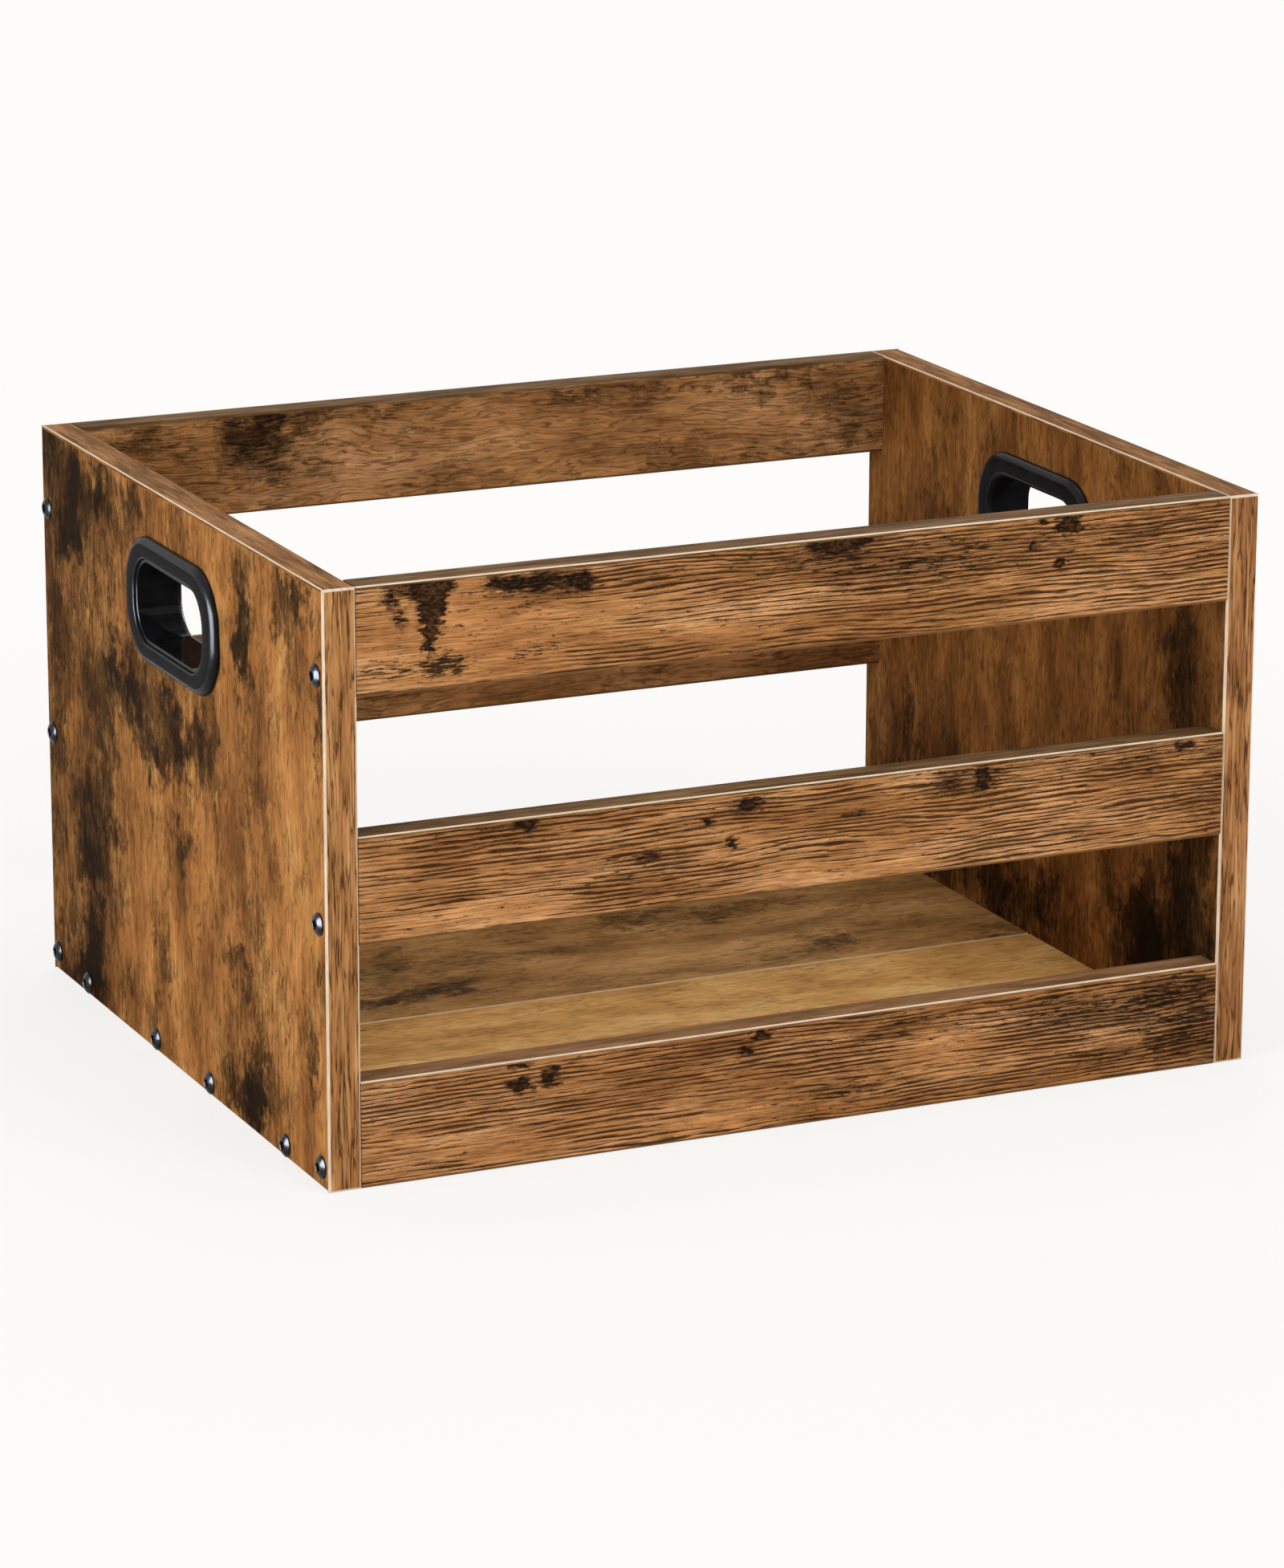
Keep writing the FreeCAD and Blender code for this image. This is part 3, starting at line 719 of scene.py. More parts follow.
# %% Mark the slats
SLAT_MARKS = {
    # X, Z, half length, half height, strength
    ("front", "top"): {
        "knots": [
            (-177, 257, 11, 9, 1.0), (-167, 257, 9, 8, 1.0), (-172, 249, 10, 9, 1.0),
            (-172, 241, 7, 8, 1.0), (-173, 234, 5, 9, 1.1), (-190, 253, 6, 9, 0.7), (-186, 244, 4, 7, 0.6),
            (-140, 255, 14, 6, 0.8), (-122, 254, 18, 7, 0.8), (-104, 252, 10, 7, 1.0),
            (14, 258, 22, 7, 1.5), (126, 255, 9, 6, 1.3), (112, 257, 5, 4, 0.9), (108, 247, 5, 4, 0.8),
            (121, 238, 4, 5, 0.9),
        ],
        "smoke": [
            (-122, 253, 40, 12, 1.1), (0, 252, 40, 14, 1.2), (50, 246, 50, 16, 1.3), (-60, 250, 40, 9, 0.5),
            (100, 246, 40, 14, 0.7), (165, 248, 60, 14, 0.8), (190, 230, 30, 14, 0.5),
        ],
        "calm": [(-150, 234, 80, 26, 1.2), (-150, 246, 40, 12, 0.5), (-40, 226, 50, 9, 0.8)],
        "specks": [
            (-168, 223, 26, 10, 0.9), (-133, 224, 12, 8, 0.6), (-117, 226, 12, 8, 0.6),
            (-195, 224, 16, 9, 0.6),
        ],
    },
    ("front", "middle"): {
        "knots": [
            (-130, 151, 10, 5, 1.0), (-27, 147, 11, 6, 1.0), (-46, 142, 6, 4, 0.7), (-34, 131, 4, 5, 0.9),
            (-73, 130, 9, 4, 0.7), (70, 145, 10, 6, 0.6), (86, 146, 7, 9, 1.1), (185, 150, 9, 4, 0.8),
            (25, 137, 9, 3, 0.6),
        ],
        "smoke": [
            (-142, 148, 34, 9, 0.8), (-80, 128, 46, 11, 0.7), (-30, 145, 34, 10, 0.5),
            (78, 146, 36, 12, 1.4), (160, 146, 50, 10, 0.8), (200, 130, 16, 26, 0.8),
        ],
        "calm": [(-150, 114, 60, 8, 0.7), (20, 112, 60, 7, 0.7), (100, 128, 50, 8, 0.4)],
        "specks": [(-165, 112, 18, 7, 0.4), (-50, 124, 30, 10, 0.3)],
    },
    ("front", "bottom"): {
        "knots": [
            (-133, 36, 9, 5, 1.0), (-118, 38, 7, 8, 0.9), (-132, 45, 9, 3, 0.9), (-20, 44, 8, 5, 0.9),
            (-27, 38, 6, 4, 0.8),
        ],
        "smoke": [
            (20, 12, 56, 16, 0.6), (25, 36, 50, 14, 0.4), (60, 38, 40, 12, 0.6), (130, 34, 40, 15, 1.3),
            (180, 34, 44, 18, 2.0), (150, 12, 50, 10, 0.7), (196, 14, 30, 22, 1.6), (-70, 36, 20, 6, 0.3),
        ],
        "calm": [(-160, 10, 50, 9, 0.4), (-40, 8, 50, 8, 0.6), (70, 26, 30, 16, 0.7)],
        "specks": [(22, 12, 36, 12, 0.5), (150, 12, 40, 10, 0.35)],
    },
    ("rear", "top"): {
        "knots": [(-96, 231, 9, 6, 1.1), (148, 253, 12, 5, 1.0)],
        "smoke": [(40, 250, 70, 12, 0.8), (-160, 226, 50, 16, 0.7)],
        "calm": [(110, 226, 50, 10, 0.9)],
        "specks": [(60, 228, 20, 8, 0.5)],
    },
    ("rear", "middle"): {
        "knots": [(34, 139, 8, 7, 1.1), (-171, 121, 12, 5, 0.9), (96, 112, 5, 4, 0.8)],
        "smoke": [(150, 132, 60, 20, 0.8), (-60, 146, 50, 9, 0.6)],
        "calm": [(-100, 118, 50, 9, 0.8)],
        "specks": [(-20, 112, 26, 8, 0.5)],
    },
    ("rear", "bottom"): {
        "knots": [(121, 30, 10, 6, 1.1), (-42, 9, 9, 5, 0.9)],
        "smoke": [(-150, 30, 60, 18, 0.8), (60, 12, 70, 12, 0.7)],
        "calm": [(30, 34, 46, 10, 0.8)],
        "specks": [(170, 12, 22, 8, 0.5)],
    },
}
REAR_TOP_STAINS = [
    (-114, 246, 34, 22, 1.0), (-106, 228, 34, 20, 1.0), (-90, 254, 60, 9, 0.8), (-168, 250, 40, 14, 0.7),
    (-150, 232, 20, 20, 0.5), (10, 257, 90, 7, 0.8), (120, 256, 60, 7, 0.7), (170, 240, 60, 44, 0.6),
    (60, 226, 60, 10, 0.4),
]
print("knots on each slat:", {" ".join(slat): len(marks["knots"]) for slat, marks in SLAT_MARKS.items()})

# %% [markdown]
# A slat shows two faces: the combed one outside, and inside the same smooth print as the panels. Two
# materials on one slat would need its faces sorted first. Both prints are mixed in one finish instead,
# and the distance from the middle of the crate says which one a point gets.

# %% Finish the six slats
SLAT_SHOW_FACE = 175
SLAT_BACK_FACE = 160
SLAT_CORE = (SLAT_SHOW_FACE + SLAT_BACK_FACE) / 2
SLAT_SEED = 30
SLAT_SEED_STEP = 7
BACK_SEED_STEP = 20
BACK_SOOTINESS = -0.15
BACK_BITE = 0.7
SLAT_ROUGH = (-1.0, 0.8, 0.6, 0.44)
SLAT_RELIEF_MM = 0.3
SLAT_BACK_TONES = (paint(138, 94, 56), paint(174, 123, 76), paint(198, 147, 99))


def slat_spots(face, spots):
    return [((x, face, z), (long, FACE_DEPTH_MM, tall), force) for x, z, long, tall, force in spots]


def slat_finish(side, row, seed):
    finish = Finish(f"{side}_{row}_slat_print")
    outward = -1 if side == "front" else 1
    show = outward * SLAT_SHOW_FACE
    marks = {kind: slat_spots(show, spots) for kind, spots in SLAT_MARKS[side, row].items()}
    combed_colour, combed_height = combed_print(finish, marks, seed)
    dark_spots = REAR_TOP_STAINS if (side, row) == ("rear", "top") else []
    back = slat_spots(outward * SLAT_BACK_FACE, dark_spots)
    smooth_colour, smooth_height = smooth_print(
        finish, LEVEL, back, seed + BACK_SEED_STEP, SLAT_BACK_TONES, BACK_SOOTINESS, BACK_BITE
    )
    is_show = finish.sum("GREATER_THAN", finish.sum("ABSOLUTE", finish.axis("Y")), SLAT_CORE)
    colour = finish.blend(is_show, smooth_colour, combed_colour)
    lift = finish.sum("SUBTRACT", combed_height, smooth_height)
    height = finish.sum("MULTIPLY_ADD", is_show, lift, smooth_height)
    rough = finish.between(height, *SLAT_ROUGH)
    return finish.coat(colour, rough, height, SLAT_RELIEF_MM, BOARD_GLOSS)


for number, (side, row) in enumerate(SLAT_MARKS):
    dress(f"{side}_{row}_slat", slat_finish(side, row, SLAT_SEED + SLAT_SEED_STEP * number))
print("slats dressed:", [" ".join(slat) for slat in SLAT_MARKS])

# %% [markdown]
# ## Dress the floor
# The floor boards are the same smooth print laid flat, with the grain along the crate. One finish could
# serve both, but in the photograph the front board is lighter and cleaner and the rear one is smokier,
# so each gets tones and stains of its own. Little light reaches the floor, which is why its tones are
# written paler than they look.

# %% Finish the floor boards
FLOOR_FACE = 12
FLOOR_BITE = 0.55
FLOOR_SEED = 90
FLOOR_SEED_STEP = 5
FLOOR_ROUGH = (0.2, 0.8, 0.52, 0.4)
FLOOR_RELIEF_MM = 0.1
FLOOR_TONES = {
    "front": (paint(200, 147, 82), paint(228, 174, 102), paint(245, 200, 130)),
    "rear": (paint(143, 103, 59), paint(178, 131, 77), paint(205, 157, 98)),
}
FLOOR_STAINS = {
    # X, Y, half length, half width, strength
    "front": [(-185, -120, 50, 40, 0.9), (-150, -60, 50, 14, 0.4), (120, -120, 40, 12, 0.3)],
    "rear": [
        (-190, 24, 26, 16, 1.6), (-120, 30, 60, 14, 1.3), (-180, 62, 50, 16, 1.0), (-60, 70, 60, 14, 0.8),
        (60, 96, 70, 16, 0.6), (120, 30, 60, 12, 0.5),
    ],
}
FLOOR_SOOTINESS = {"front": -0.45, "rear": -0.05}


def floor_finish(side, seed):
    finish = Finish(f"{side}_floor_print")
    dark_spots = [
        ((x, y, FLOOR_FACE), (long, wide, FACE_DEPTH_MM), force)
        for x, y, long, wide, force in FLOOR_STAINS[side]
    ]
    tones, sootiness = FLOOR_TONES[side], FLOOR_SOOTINESS[side]
    colour, height = smooth_print(finish, FLAT, dark_spots, seed, tones, sootiness, FLOOR_BITE)
    rough = finish.between(height, *FLOOR_ROUGH)
    return finish.coat(colour, rough, height, FLOOR_RELIEF_MM, BOARD_GLOSS)


for number, side in enumerate(FLOOR_TONES):
    dress(f"{side}_floor_board", floor_finish(side, FLOOR_SEED + FLOOR_SEED_STEP * number))
print("floor boards dressed:", list(FLOOR_TONES))

# %% [markdown]
# ## The edge bands
# A thin band of paper laminate is glued along each raw board edge, and then both its arrises are
# trimmed off at a slant. The trim cuts through the print to the pale core of the band: that is the
# cream line along the edges. A pale strip could be added as a piece of its own, but the bevel is there
# already, so it only needs paint. The slanted faces are found by their direction, because they look
# along none of the three axes. On the slats and the rim only part of the slant is pale, and the inner
# arris of a slat stays brown. Under a slat the slants face down, so they are painted brown there, as
# painted shade. The bands themselves are printed like bark, with fine cracks along them and paler bark
# on one side of each crack, partly print and partly a painted highlight on the relief.

# %% Mix the band finish
BAND_MM = {
    # size of each layer along the band and across it
    "tone": (60, 7),
    "fibre": (14, 0.8),
    "bark": (34, 1.6),
    "press": (22, 2.4),
    "nick": (9, 2),
}
CORE_CREAM = paint(230, 207, 180)
CORE_TAN = paint(226, 194, 148)
# brown for the downward slants under a slat, as painted shade in place of the cream core
LOW_SLANT_SHADE = paint(134, 94, 58)
BAND_CRACK = paint(62, 37, 19)
# paler bark beside the cracks: partly print, partly a painted highlight on the relief
BAND_PALE_AND_HIGHLIGHT = paint(204, 154, 102)
BAND_FIBRE = (0.28, 0.72, 0.66, 1.24)
BARK_EDGE = (0.014, 0.045, 1.0, 0.0)
BARK_PALE_HIGHLIGHT_MARKS = (0.54, 0.64)
BARK_PALE_HIGHLIGHT_SHARE = 0.5
PRESS_MARKS = (0.36, 0.52)
FAINT_CRACK = 0.15
NICK_SHADE = (0.3, 0.7, 0.84, 1.04)
CRACK_DEPTH = 0.8
BAND_ROUGH = (0.2, 0.8, 0.55, 0.42)
BAND_RELIEF_MM = 0.1
ARRIS_TURN = 0.92
# distance from the middle of the crate, and half the width of the pale part
SLAT_TRIM_MM = (171.0, 3.6)
RIM_TRIM_MM = (212.5, 7.0)


def band_cloud(finish, grain, layer, seed, **more):
    along, across = BAND_MM[layer]
    return finish.cloud(finish.place, by_grain(grain, along, across, across), seed=seed, **more)


def trimmed_arris(finish):
    """1 on the slanted faces, 0 on the straight ones."""
    way = finish.node("ShaderNodeNewGeometry").outputs["Normal"]
    sides = finish.node("ShaderNodeSeparateXYZ", {0: finish.vector("ABSOLUTE", way)}).outputs
    straight = finish.sum("MAXIMUM", finish.sum("MAXIMUM", sides[0], sides[1]), sides[2])
    return finish.sum("LESS_THAN", straight, ARRIS_TURN)


def slat_trim(finish):
    """Part of a slat's outer slanted face; the inner one keeps its print."""
    out = finish.sum("ABSOLUTE", finish.axis("Y"))
    return finish.sum("MULTIPLY", trimmed_arris(finish), finish.sum("COMPARE", out, *SLAT_TRIM_MM))


def rim_trim(finish):
    """Part of the slanted faces along the rim of an end panel."""
    out = finish.sum("ABSOLUTE", finish.axis("X"))
    return finish.sum("MULTIPLY", trimmed_arris(finish), finish.sum("COMPARE", out, *RIM_TRIM_MM))


def band_finish(name, grain, tones, trim_colour, cracks, seed, trim=trimmed_arris):
    """A band with its grain, the colour of its trimmed slants and the share of dark in its cracks."""
    finish = Finish(name)
    tone = band_cloud(finish, grain, "tone", seed, detail=4, rough=0.6)
    fibre = band_cloud(finish, grain, "fibre", seed + 1, detail=4, rough=0.7)
    bark = band_cloud(finish, grain, "bark", seed + 2)
    press = band_cloud(finish, grain, "press", seed + 4, detail=4)
    nick = band_cloud(finish, grain, "nick", seed + 3, detail=4)
    colour = finish.steps(tone, list(zip(TONE_MARKS, tones)))
    colour = finish.shade(colour, finish.between(fibre, *BAND_FIBRE))
    # paler bark on one side of each crack, partly print and partly a painted highlight on its relief
    pale_bark_and_highlight = finish.between(bark, *BARK_PALE_HIGHLIGHT_MARKS, 0.0, BARK_PALE_HIGHLIGHT_SHARE * cracks)
    colour = finish.blend(pale_bark_and_highlight, colour, BAND_PALE_AND_HIGHLIGHT)
    from_middle = finish.sum("ABSOLUTE", finish.sum("SUBTRACT", bark, 0.5))
    pressed = finish.between(press, *PRESS_MARKS, FAINT_CRACK, cracks)
    dark = finish.sum("MULTIPLY", finish.between(from_middle, *BARK_EDGE), pressed)
    colour = finish.blend(dark, colour, BAND_CRACK)
    colour = finish.blend(trim(finish), colour, finish.shade(trim_colour, finish.between(nick, *NICK_SHADE)))
    height = finish.sum("MULTIPLY_ADD", dark, -CRACK_DEPTH, fibre)
    rough = finish.between(fibre, *BAND_ROUGH)
    return finish.coat(colour, rough, height, BAND_RELIEF_MM, BOARD_GLOSS)


print("layers in a band:", list(BAND_MM))

# %% [markdown]
# One recipe serves every band, with other tones: golden on the upright edges, browner on the rim, where
# they are partly painted shade against the top lamp, and dark on the slats. Each board could have bands
# of its own, but the eye can't tell them apart, so bands of one kind share a finish. Only the two ends
# differ: the right one's tones are darker, partly as painted shade.

# %% Finish the edge bands
RIM_GRAIN = "YXZ"
END_EDGE_TONES_AND_SHADE = {
    "left": (paint(146, 98, 56), paint(172, 120, 72), paint(194, 143, 92)),
    # right: darker, partly as painted shade
    "right": (paint(133, 87, 50), paint(158, 107, 65), paint(180, 129, 84)),
}
# written darker, partly as painted shade that offsets the top lamp's light on the rim
RIM_EDGE_TONES_AND_SHADE = (paint(112, 74, 40), paint(142, 97, 55), paint(168, 120, 74))
SLAT_EDGE_TONES = (paint(80, 58, 35), paint(108, 80, 50), paint(134, 102, 68))
LOW_EDGE_TONES = (paint(122, 86, 56), paint(146, 106, 72), paint(166, 124, 88))

upright_bands = {
    side: band_finish(f"{side}_end_band", UPRIGHT, tones, CORE_CREAM, cracks=0.85, seed=101)
    for side, tones in END_EDGE_TONES_AND_SHADE.items()
}
rim_band = band_finish(
    "end_rim_band", RIM_GRAIN, RIM_EDGE_TONES_AND_SHADE, CORE_CREAM, cracks=0.5, seed=105, trim=rim_trim
)
upper_band = band_finish(
    "slat_upper_band", FLAT, SLAT_EDGE_TONES, CORE_CREAM, cracks=0.4, seed=109, trim=slat_trim
)
foot_band = band_finish(
    "bottom_slat_upper_band", FLAT, LOW_EDGE_TONES, CORE_CREAM, cracks=0.3, seed=117, trim=slat_trim
)
# under a slat the slants face down and are painted brown, as painted shade
lower_band = band_finish("slat_lower_band", FLAT, SLAT_EDGE_TONES, LOW_SLANT_SHADE, cracks=0.4, seed=113)
floor_band = band_finish("floor_band", FLAT, LOW_EDGE_TONES, CORE_TAN, cracks=0.3, seed=121)
for side in ("left", "right"):
    for edge in ("front", "rear"):
        dress(f"{side}_end_{edge}_band", upright_bands[side])
    for edge in ("top", "bottom"):
        dress(f"{side}_end_{edge}_band", rim_band)
for side in ("front", "rear"):
    for row in ("bottom", "middle", "top"):
        dress(f"{side}_{row}_slat_lower_band", lower_band)
        dress(f"{side}_{row}_slat_upper_band", foot_band if row == "bottom" else upper_band)
    for edge in ("outer", "inner"):
        dress(f"{side}_floor_{edge}_band", floor_band)
print("band finishes:", [m.name for m in bpy.data.materials if m.name.endswith("_band")])

# %% [markdown]
# ## Skins from loops
# The grips and the screws are moulded and turned, so they are round where the boards are flat. A plain
# cylinder would give neither a rolled rim nor a socket. Both are built the same way instead: a row of
# closed loops of points, each loop joined to the next by a strip of faces, like the hoops and the
# canvas of a tunnel. Each skin stands for a node of the frame and rides on its body.

# %% Build a skin
SHARP_EDGE_DEG = 38


def strips(mesh, loops, joined=False, coats=()):
    """Joins loops of points by strips of faces; coats gives the number of each strip's finish."""
    rows = [[mesh.verts.new(point) for point in loop] for loop in loops]
    pairs = list(zip(rows, rows[1:])) + ([(rows[-1], rows[0])] if joined else [])
    for number, (near, far) in enumerate(pairs):
        for i in range(len(near)):
            j = (i + 1) % len(near)
            face = mesh.faces.new((near[i], near[j], far[j], far[i]))
            face.material_index = coats[number] if coats else 0
    if not joined:
        mesh.faces.new(rows[0])
        mesh.faces.new(rows[-1])


def make_piece(node, mesh, slot, *finishes):
    """Turns a skin into a piece that stands for a node of the frame."""
    bmesh.ops.recalc_face_normals(mesh, faces=mesh.faces)
    data = bpy.data.meshes.new(node + "_skin")
    mesh.to_mesh(data)
    mesh.free()
    data.shade_smooth()
    data.set_sharp_from_angle(angle=math.radians(SHARP_EDGE_DEG))
    piece = bpy.data.objects.new(node + "_skin", data)
    scene.collection.objects.link(piece)
    for finish in finishes:
        data.materials.append(finish)
    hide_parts(node)
    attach(piece, "root")


def half_turn(points):
    """The same points at the other end of the crate."""
    return [(-x, -y, z) for x, y, z in points]


def in_metres(points):
    return [tuple(value * MM for value in point) for point in points]


print("sharp edges from", SHARP_EDGE_DEG, "degrees")

# %% [markdown]
# ## The grips
# Each hand hole is lined by two black mouldings that snap together through the panel. The outer one has
# a broad rim with a rolled edge. The inner one has the same rim on the inside, and a lining that runs
# right through and stops just short of the crest of the outer rim, so a fine step shows all round. A
# profile could be swept around the hole, but here every loop says which coat its strip gets, and that
# is easiest to write as a list of loops.

# %% Draw the loops of a grip
GRIP_MIDDLE_Z = 210.0
# length, height and corner radius
HOLE = (83.0, 35.0, 15.0)
RIM = (110.0, 57.0, 25.0)
LINING_WALL = 1.6
SLEEVE_BORE = 1.75
SLEEVE_SKIN = 3.35
OUTER_FACE_X = -PANEL_OUTER_X
INNER_FACE_X = -PANEL_INNER_X
RIM_THICKNESS = 4.0
ROLL_WIDE = 4.2
ROLL_DEEP = 3.4
LINING_RECESS = 1.2
MOUTH_ROUND = 2.4
OUTER_MOUTH_ROUND = 0.9
SLEEVE_END_X = -205.8
EDGE_ROUND = 0.3
ROLL_STEPS = 7
CORNER_STEPS = 12
QUARTER_TURN = math.pi / 2
SATIN, POLISHED, GLOSSY = 0, 1, 2


def grown(outline, growth):
    """An outline, made larger all round."""
    length, height, corner = outline
    return (length + 2 * growth, height + 2 * growth, corner + growth)


def grip_loop(x, outline):
    """A round-cornered outline around the hand hole, at the depth x."""
    length, height, corner = outline
    points = []
    for quarter, (side, up) in enumerate(((1, 1), (-1, 1), (-1, -1), (1, -1))):
        for step in range(CORNER_STEPS + 1):
            angle = QUARTER_TURN * (quarter + step / CORNER_STEPS)
            y = side * (length / 2 - corner) + corner * math.cos(angle)
            z = up * (height / 2 - corner) + corner * math.sin(angle)
            points.append((x, y, GRIP_MIDDLE_Z + z))
    return points


def rolled_rim(face, outward):
    """Loops over a rim's rolled edge, from its foot on the panel up to its flat crest."""
    crest = face + outward * RIM_THICKNESS
    loops = [(face, grown(RIM, -EDGE_ROUND), SATIN), (face + outward * EDGE_ROUND, RIM, POLISHED)]
    for step in range(ROLL_STEPS + 1):
        angle = QUARTER_TURN * step / ROLL_STEPS
        inset = ROLL_WIDE * (1 - math.cos(angle))
        coat = POLISHED if step < ROLL_STEPS - 1 else SATIN
        loops.append((crest - outward * ROLL_DEEP * (1 - math.sin(angle)), grown(RIM, -inset), coat))
    return loops


def rolled_mouth(crest, outward, outline, radius, wall):
    """Loops that roll a crest over into the hole, whose wall has a coat of its own."""
    loops = []
    for step in range(ROLL_STEPS + 1):
        angle = QUARTER_TURN * step / ROLL_STEPS
        growth = radius * (1 - math.sin(angle))
        coat = POLISHED if step < ROLL_STEPS else wall
        loops.append((crest - outward * radius * (1 - math.cos(angle)), grown(outline, growth), coat))
    return loops


def outer_grip_loops():
    """Each loop has its depth, its outline and the coat of the strip that starts there."""
    bore, skin = grown(HOLE, SLEEVE_BORE), grown(HOLE, SLEEVE_SKIN)
    loops = [(SLEEVE_END_X, bore, SATIN), (SLEEVE_END_X, skin, SATIN), (OUTER_FACE_X, skin, SATIN)]
    loops += rolled_rim(OUTER_FACE_X, -1)
    loops += rolled_mouth(OUTER_FACE_X - RIM_THICKNESS, -1, bore, OUTER_MOUTH_ROUND, SATIN)
    return loops


def inner_grip_loops():
    """The same for the inner half, from the nose of its lining round to the mouth."""
    lining, end = grown(HOLE, LINING_WALL), OUTER_FACE_X - RIM_THICKNESS + LINING_RECESS
    nose = [
        (end + EDGE_ROUND, HOLE),
        (end, grown(HOLE, EDGE_ROUND)),
        (end, grown(lining, -EDGE_ROUND)),
        (end + EDGE_ROUND, lining),
    ]
    loops = [(x, outline, POLISHED) for x, outline in nose] + [(INNER_FACE_X, lining, SATIN)]
    loops += rolled_rim(INNER_FACE_X, 1)
    loops += rolled_mouth(INNER_FACE_X + RIM_THICKNESS, 1, HOLE, MOUTH_ROUND, GLOSSY)
    return loops


print("loops in a grip half:", len(outer_grip_loops()), "outer and", len(inner_grip_loops()), "inner")

# %% [markdown]
# The plastic has three coats: the flat of a rim is satin, the rolled edges are polished by hands and
# catch the light, and the lining is smooth and deep black. With one coat the edge of the rim would be
# lost against its flat. The right end is the left one after half a turn.

# %% Mould the grips
SMEAR_MM = 14
PLASTIC_BLACKS = [(0.35, paint(15, 15, 16)), (0.65, paint(24, 24, 26))]
SMEAR_MARKS = (0.3, 0.7)
CLEANEST = 0.85
DULLEST = 1.2


def moulded_plastic(name, gloss_rough, specular, grain_mm, relief_mm):
    """Black plastic with a fine mould grain, and smears of handling that change its gloss."""
    finish = Finish(name)
    spark = finish.cloud(finish.place, (grain_mm,) * 3, seed=3, detail=2)
    smear = finish.cloud(finish.place, (SMEAR_MM,) * 3, seed=4)
    colour = finish.steps(smear, PLASTIC_BLACKS)
    rough = finish.between(smear, *SMEAR_MARKS, gloss_rough * CLEANEST, gloss_rough * DULLEST)
    return finish.coat(colour, rough, spark, relief_mm, specular)


grip_coats = (
    moulded_plastic("grip_satin", gloss_rough=0.3, specular=0.012, grain_mm=0.5, relief_mm=0.006),
    moulded_plastic("grip_polished_edge", gloss_rough=0.24, specular=0.1, grain_mm=0.5, relief_mm=0.004),
    moulded_plastic("grip_gloss", gloss_rough=0.06, specular=0.015, grain_mm=3.0, relief_mm=0.004),
)
for half, loops in (("outer", outer_grip_loops()), ("inner", inner_grip_loops())):
    coats = [coat for x, outline, coat in loops]
    for side in ("left", "right"):
        mesh = bmesh.new()
        rings = [grip_loop(x, outline) for x, outline, coat in loops]
        rings = rings if side == "left" else [half_turn(ring) for ring in rings]
        strips(mesh, [in_metres(ring) for ring in rings], joined=True, coats=coats)
        make_piece(f"{side}_grip_{half}", mesh, "grip_plastic", *grip_coats)
print("coats of a grip:", [coat.name for coat in grip_coats])

# %% [markdown]
# ## The screws
# Ten black screws hold each end. The head is a low dome with a six-sided socket, so its loops start as
# circles and end as hexagons that go down into the head. The thread is hidden in the boards and is
# drawn as plain rings: a true spiral would cost many faces that nobody sees.

# %% Draw the loops of a screw
HEAD_POINTS = 36
STEM_POINTS = 16
HEAD_RADIUS = 5.0
HEAD_HEIGHT = 2.8
HEAD_RIM = 0.7
HEAD_EDGE_ROUND = 0.15
SOCKET_FLATS = 4.0
SOCKET_DEPTH = 1.7
SOCKET_LAND = 0.4
SOCKET_FLARE = 0.12
SOCKET_EDGE_ROUND = 0.15
DOME_STEPS = 7
STEM_RADIUS = 2.5
THREAD_ROOT = 2.0
STEM_LENGTH = 50.0
TIP_LENGTH = 4.0
TIP_RADIUS = 0.8
THREAD_PITCH = 2.5
THREAD_START = 2
STEM_START = 0.05


def screw_loop(x, radius, spot, points, hexagon=False):
    """One turn around a screw's axis, round or six-sided; a hexagon's radius reaches to its flats."""
    loop = []
    for i in range(points):
        angle = 2 * math.pi * i / points
        reach = radius / math.cos(angle % (math.pi / 3) - math.pi / 6) if hexagon else radius
        y, z = spot[0] + reach * math.cos(angle), spot[1] + reach * math.sin(angle)
        loop.append((OUTER_FACE_X + x, y, z))
    return loop


def head_loops(spot):
    """From the foot of the head over its dome and down into the socket."""
    cap = HEAD_HEIGHT - HEAD_RIM
    dome_radius = (HEAD_RADIUS**2 + cap**2) / (2 * cap)
    edge = math.asin(HEAD_RADIUS / dome_radius)
    land = math.asin((SOCKET_FLATS / math.sqrt(3) + SOCKET_LAND) / dome_radius)
    loops = [
        screw_loop(0, HEAD_RADIUS - HEAD_EDGE_ROUND, spot, HEAD_POINTS),
        screw_loop(-HEAD_EDGE_ROUND, HEAD_RADIUS, spot, HEAD_POINTS),
    ]
    for step in range(DOME_STEPS + 1):
        angle = edge + (land - edge) * step / DOME_STEPS
        x = dome_radius * (1 - math.cos(angle)) - HEAD_HEIGHT
        loops.append(screw_loop(x, dome_radius * math.sin(angle), spot, HEAD_POINTS))
    crown = loops[-1][0][0] - OUTER_FACE_X
    flats = SOCKET_FLATS / 2
    socket = ((0, flats + SOCKET_FLARE), (SOCKET_EDGE_ROUND, flats), (SOCKET_DEPTH, flats))
    for depth, radius in socket:
        loops.append(screw_loop(crown + depth, radius, spot, HEAD_POINTS, hexagon=True))
    return loops


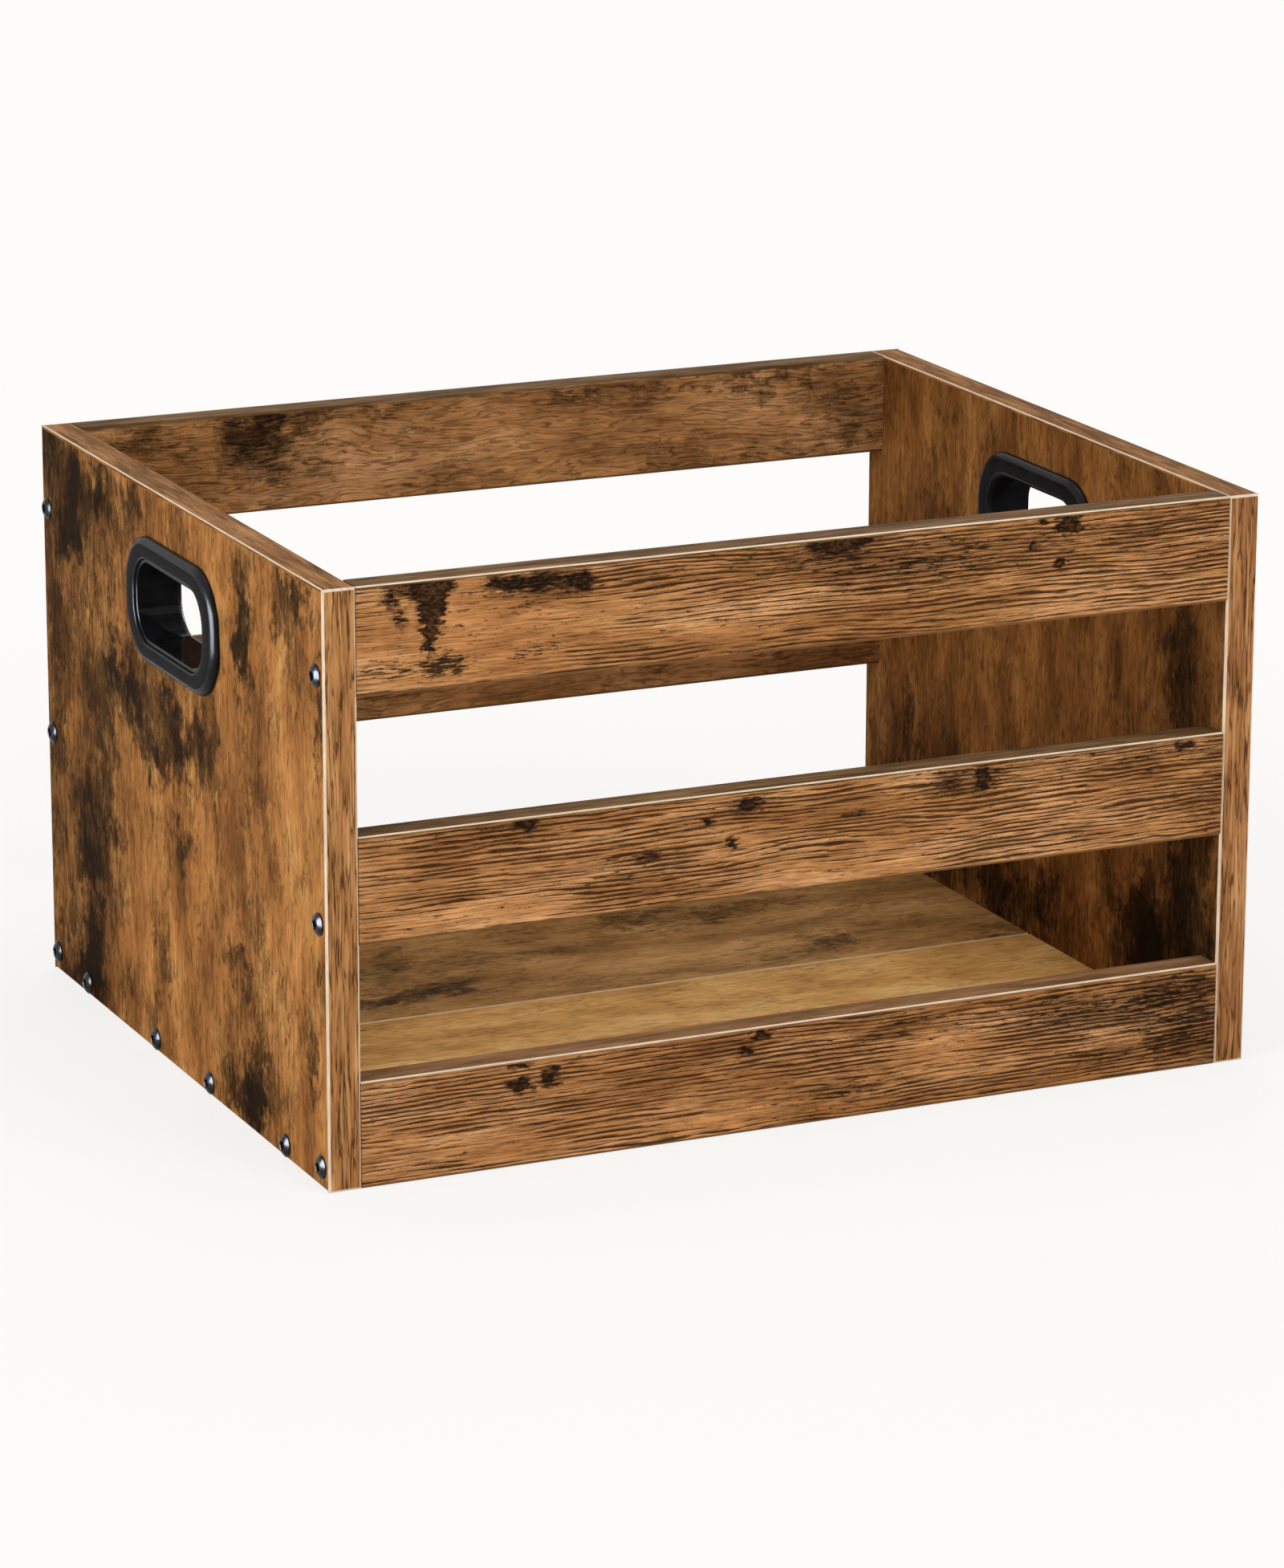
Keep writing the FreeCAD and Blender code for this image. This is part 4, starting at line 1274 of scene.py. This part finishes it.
def stem_loops(spot):
    """From under the head along the thread to the tip."""
    loops = [screw_loop(STEM_START, STEM_RADIUS, spot, STEM_POINTS)]
    turns = int((STEM_LENGTH - TIP_LENGTH - THREAD_START) / THREAD_PITCH)
    for turn in range(turns):
        x = THREAD_START + turn * THREAD_PITCH
        loops.append(screw_loop(x, THREAD_ROOT, spot, STEM_POINTS))
        loops.append(screw_loop(x + THREAD_PITCH / 2, STEM_RADIUS, spot, STEM_POINTS))
    loops.append(screw_loop(STEM_LENGTH - TIP_LENGTH, THREAD_ROOT, spot, STEM_POINTS))
    loops.append(screw_loop(STEM_LENGTH, TIP_RADIUS, spot, STEM_POINTS))
    return loops


print("loops in a screw:", len(head_loops((0, 0))) + len(stem_loops((0, 0))))

# %% [markdown]
# The screws of one kind at one end are one piece, as they are in the frame. Copies of one screw could
# be placed as objects, but a node of the frame is one piece, so its screws go into one mesh. Their
# black lacquer is scuffed, so that the light on the heads is soft and uneven.

# %% Turn the screws
SLAT_SCREW_HEIGHTS = (9.5, 116.0, 222.5)
FLOOR_SCREW_HEIGHT = 6.0
FLOOR_SCREW_PLACES = (-126.0, -34.2, 34.2, 126.0)
SLAT_SCREWS = [(y, z) for y in (-SLAT_CORE, SLAT_CORE) for z in SLAT_SCREW_HEIGHTS]
FLOOR_SCREWS = [(y, FLOOR_SCREW_HEIGHT) for y in FLOOR_SCREW_PLACES]
SCUFF_MM = 1.4
SCREW_BLACKS = [(0.4, paint(16, 16, 17)), (0.75, paint(44, 44, 46))]
SCREW_ROUGH = (0.3, 0.7, 0.18, 0.32)
SCREW_RELIEF_MM = 0.006
SCREW_GLOSS = 0.2


def screw_finish():
    finish = Finish("black_screw")
    scuff = finish.cloud(finish.place, (SCUFF_MM,) * 3, seed=2, detail=4, rough=0.6)
    colour = finish.steps(scuff, SCREW_BLACKS)
    rough = finish.between(scuff, *SCREW_ROUGH)
    return finish.coat(colour, rough, scuff, SCREW_RELIEF_MM, SCREW_GLOSS)


black_screw = screw_finish()
for group, spots in (("slat", SLAT_SCREWS), ("floor", FLOOR_SCREWS)):
    for side in ("left", "right"):
        mesh = bmesh.new()
        for spot in spots:
            for loops in (head_loops(spot), stem_loops(spot)):
                loops = loops if side == "left" else [half_turn(loop) for loop in loops]
                strips(mesh, [in_metres(loop) for loop in loops])
        make_piece(f"{side}_{group}_screws", mesh, "screw_black", black_screw)
print("screws turned:", 2 * (len(SLAT_SCREWS) + len(FLOOR_SCREWS)))

# %% [markdown]
# ## The dowels
# One fluted beech dowel sits in each slat end, where nobody sees it. It could do with one plain colour,
# but the crate may be shown in pieces, so it gets a proper finish: pale wood with fine pores along the
# dowel.

# %% Finish the dowels
BEECH_TONES = [(0.35, paint(196, 154, 108)), (0.65, paint(221, 184, 140))]
PORE_BROWN = paint(140, 96, 58)
BEECH_MM = (30, 5, 5)
PORE_MM = (3.5, 0.4, 0.4)
PORE_STEP = (0.58, 0.7, 0.0, 0.6)
BEECH_ROUGH = (0.3, 0.7, 0.6, 0.72)
BEECH_RELIEF_MM = 0.05


def beech_finish():
    finish = Finish("beech_dowel")
    tone = finish.cloud(finish.place, BEECH_MM, seed=1)
    pore = finish.cloud(finish.place, PORE_MM, seed=2, detail=2)
    colour = finish.blend(finish.between(pore, *PORE_STEP), finish.steps(tone, BEECH_TONES), PORE_BROWN)
    return finish.coat(colour, finish.between(tone, *BEECH_ROUGH), pore, BEECH_RELIEF_MM)


beech = beech_finish()
for side in ("left", "right"):
    dress(f"{side}_dowels", beech)
print("finishes in all:", len(bpy.data.materials))

# %% [markdown]
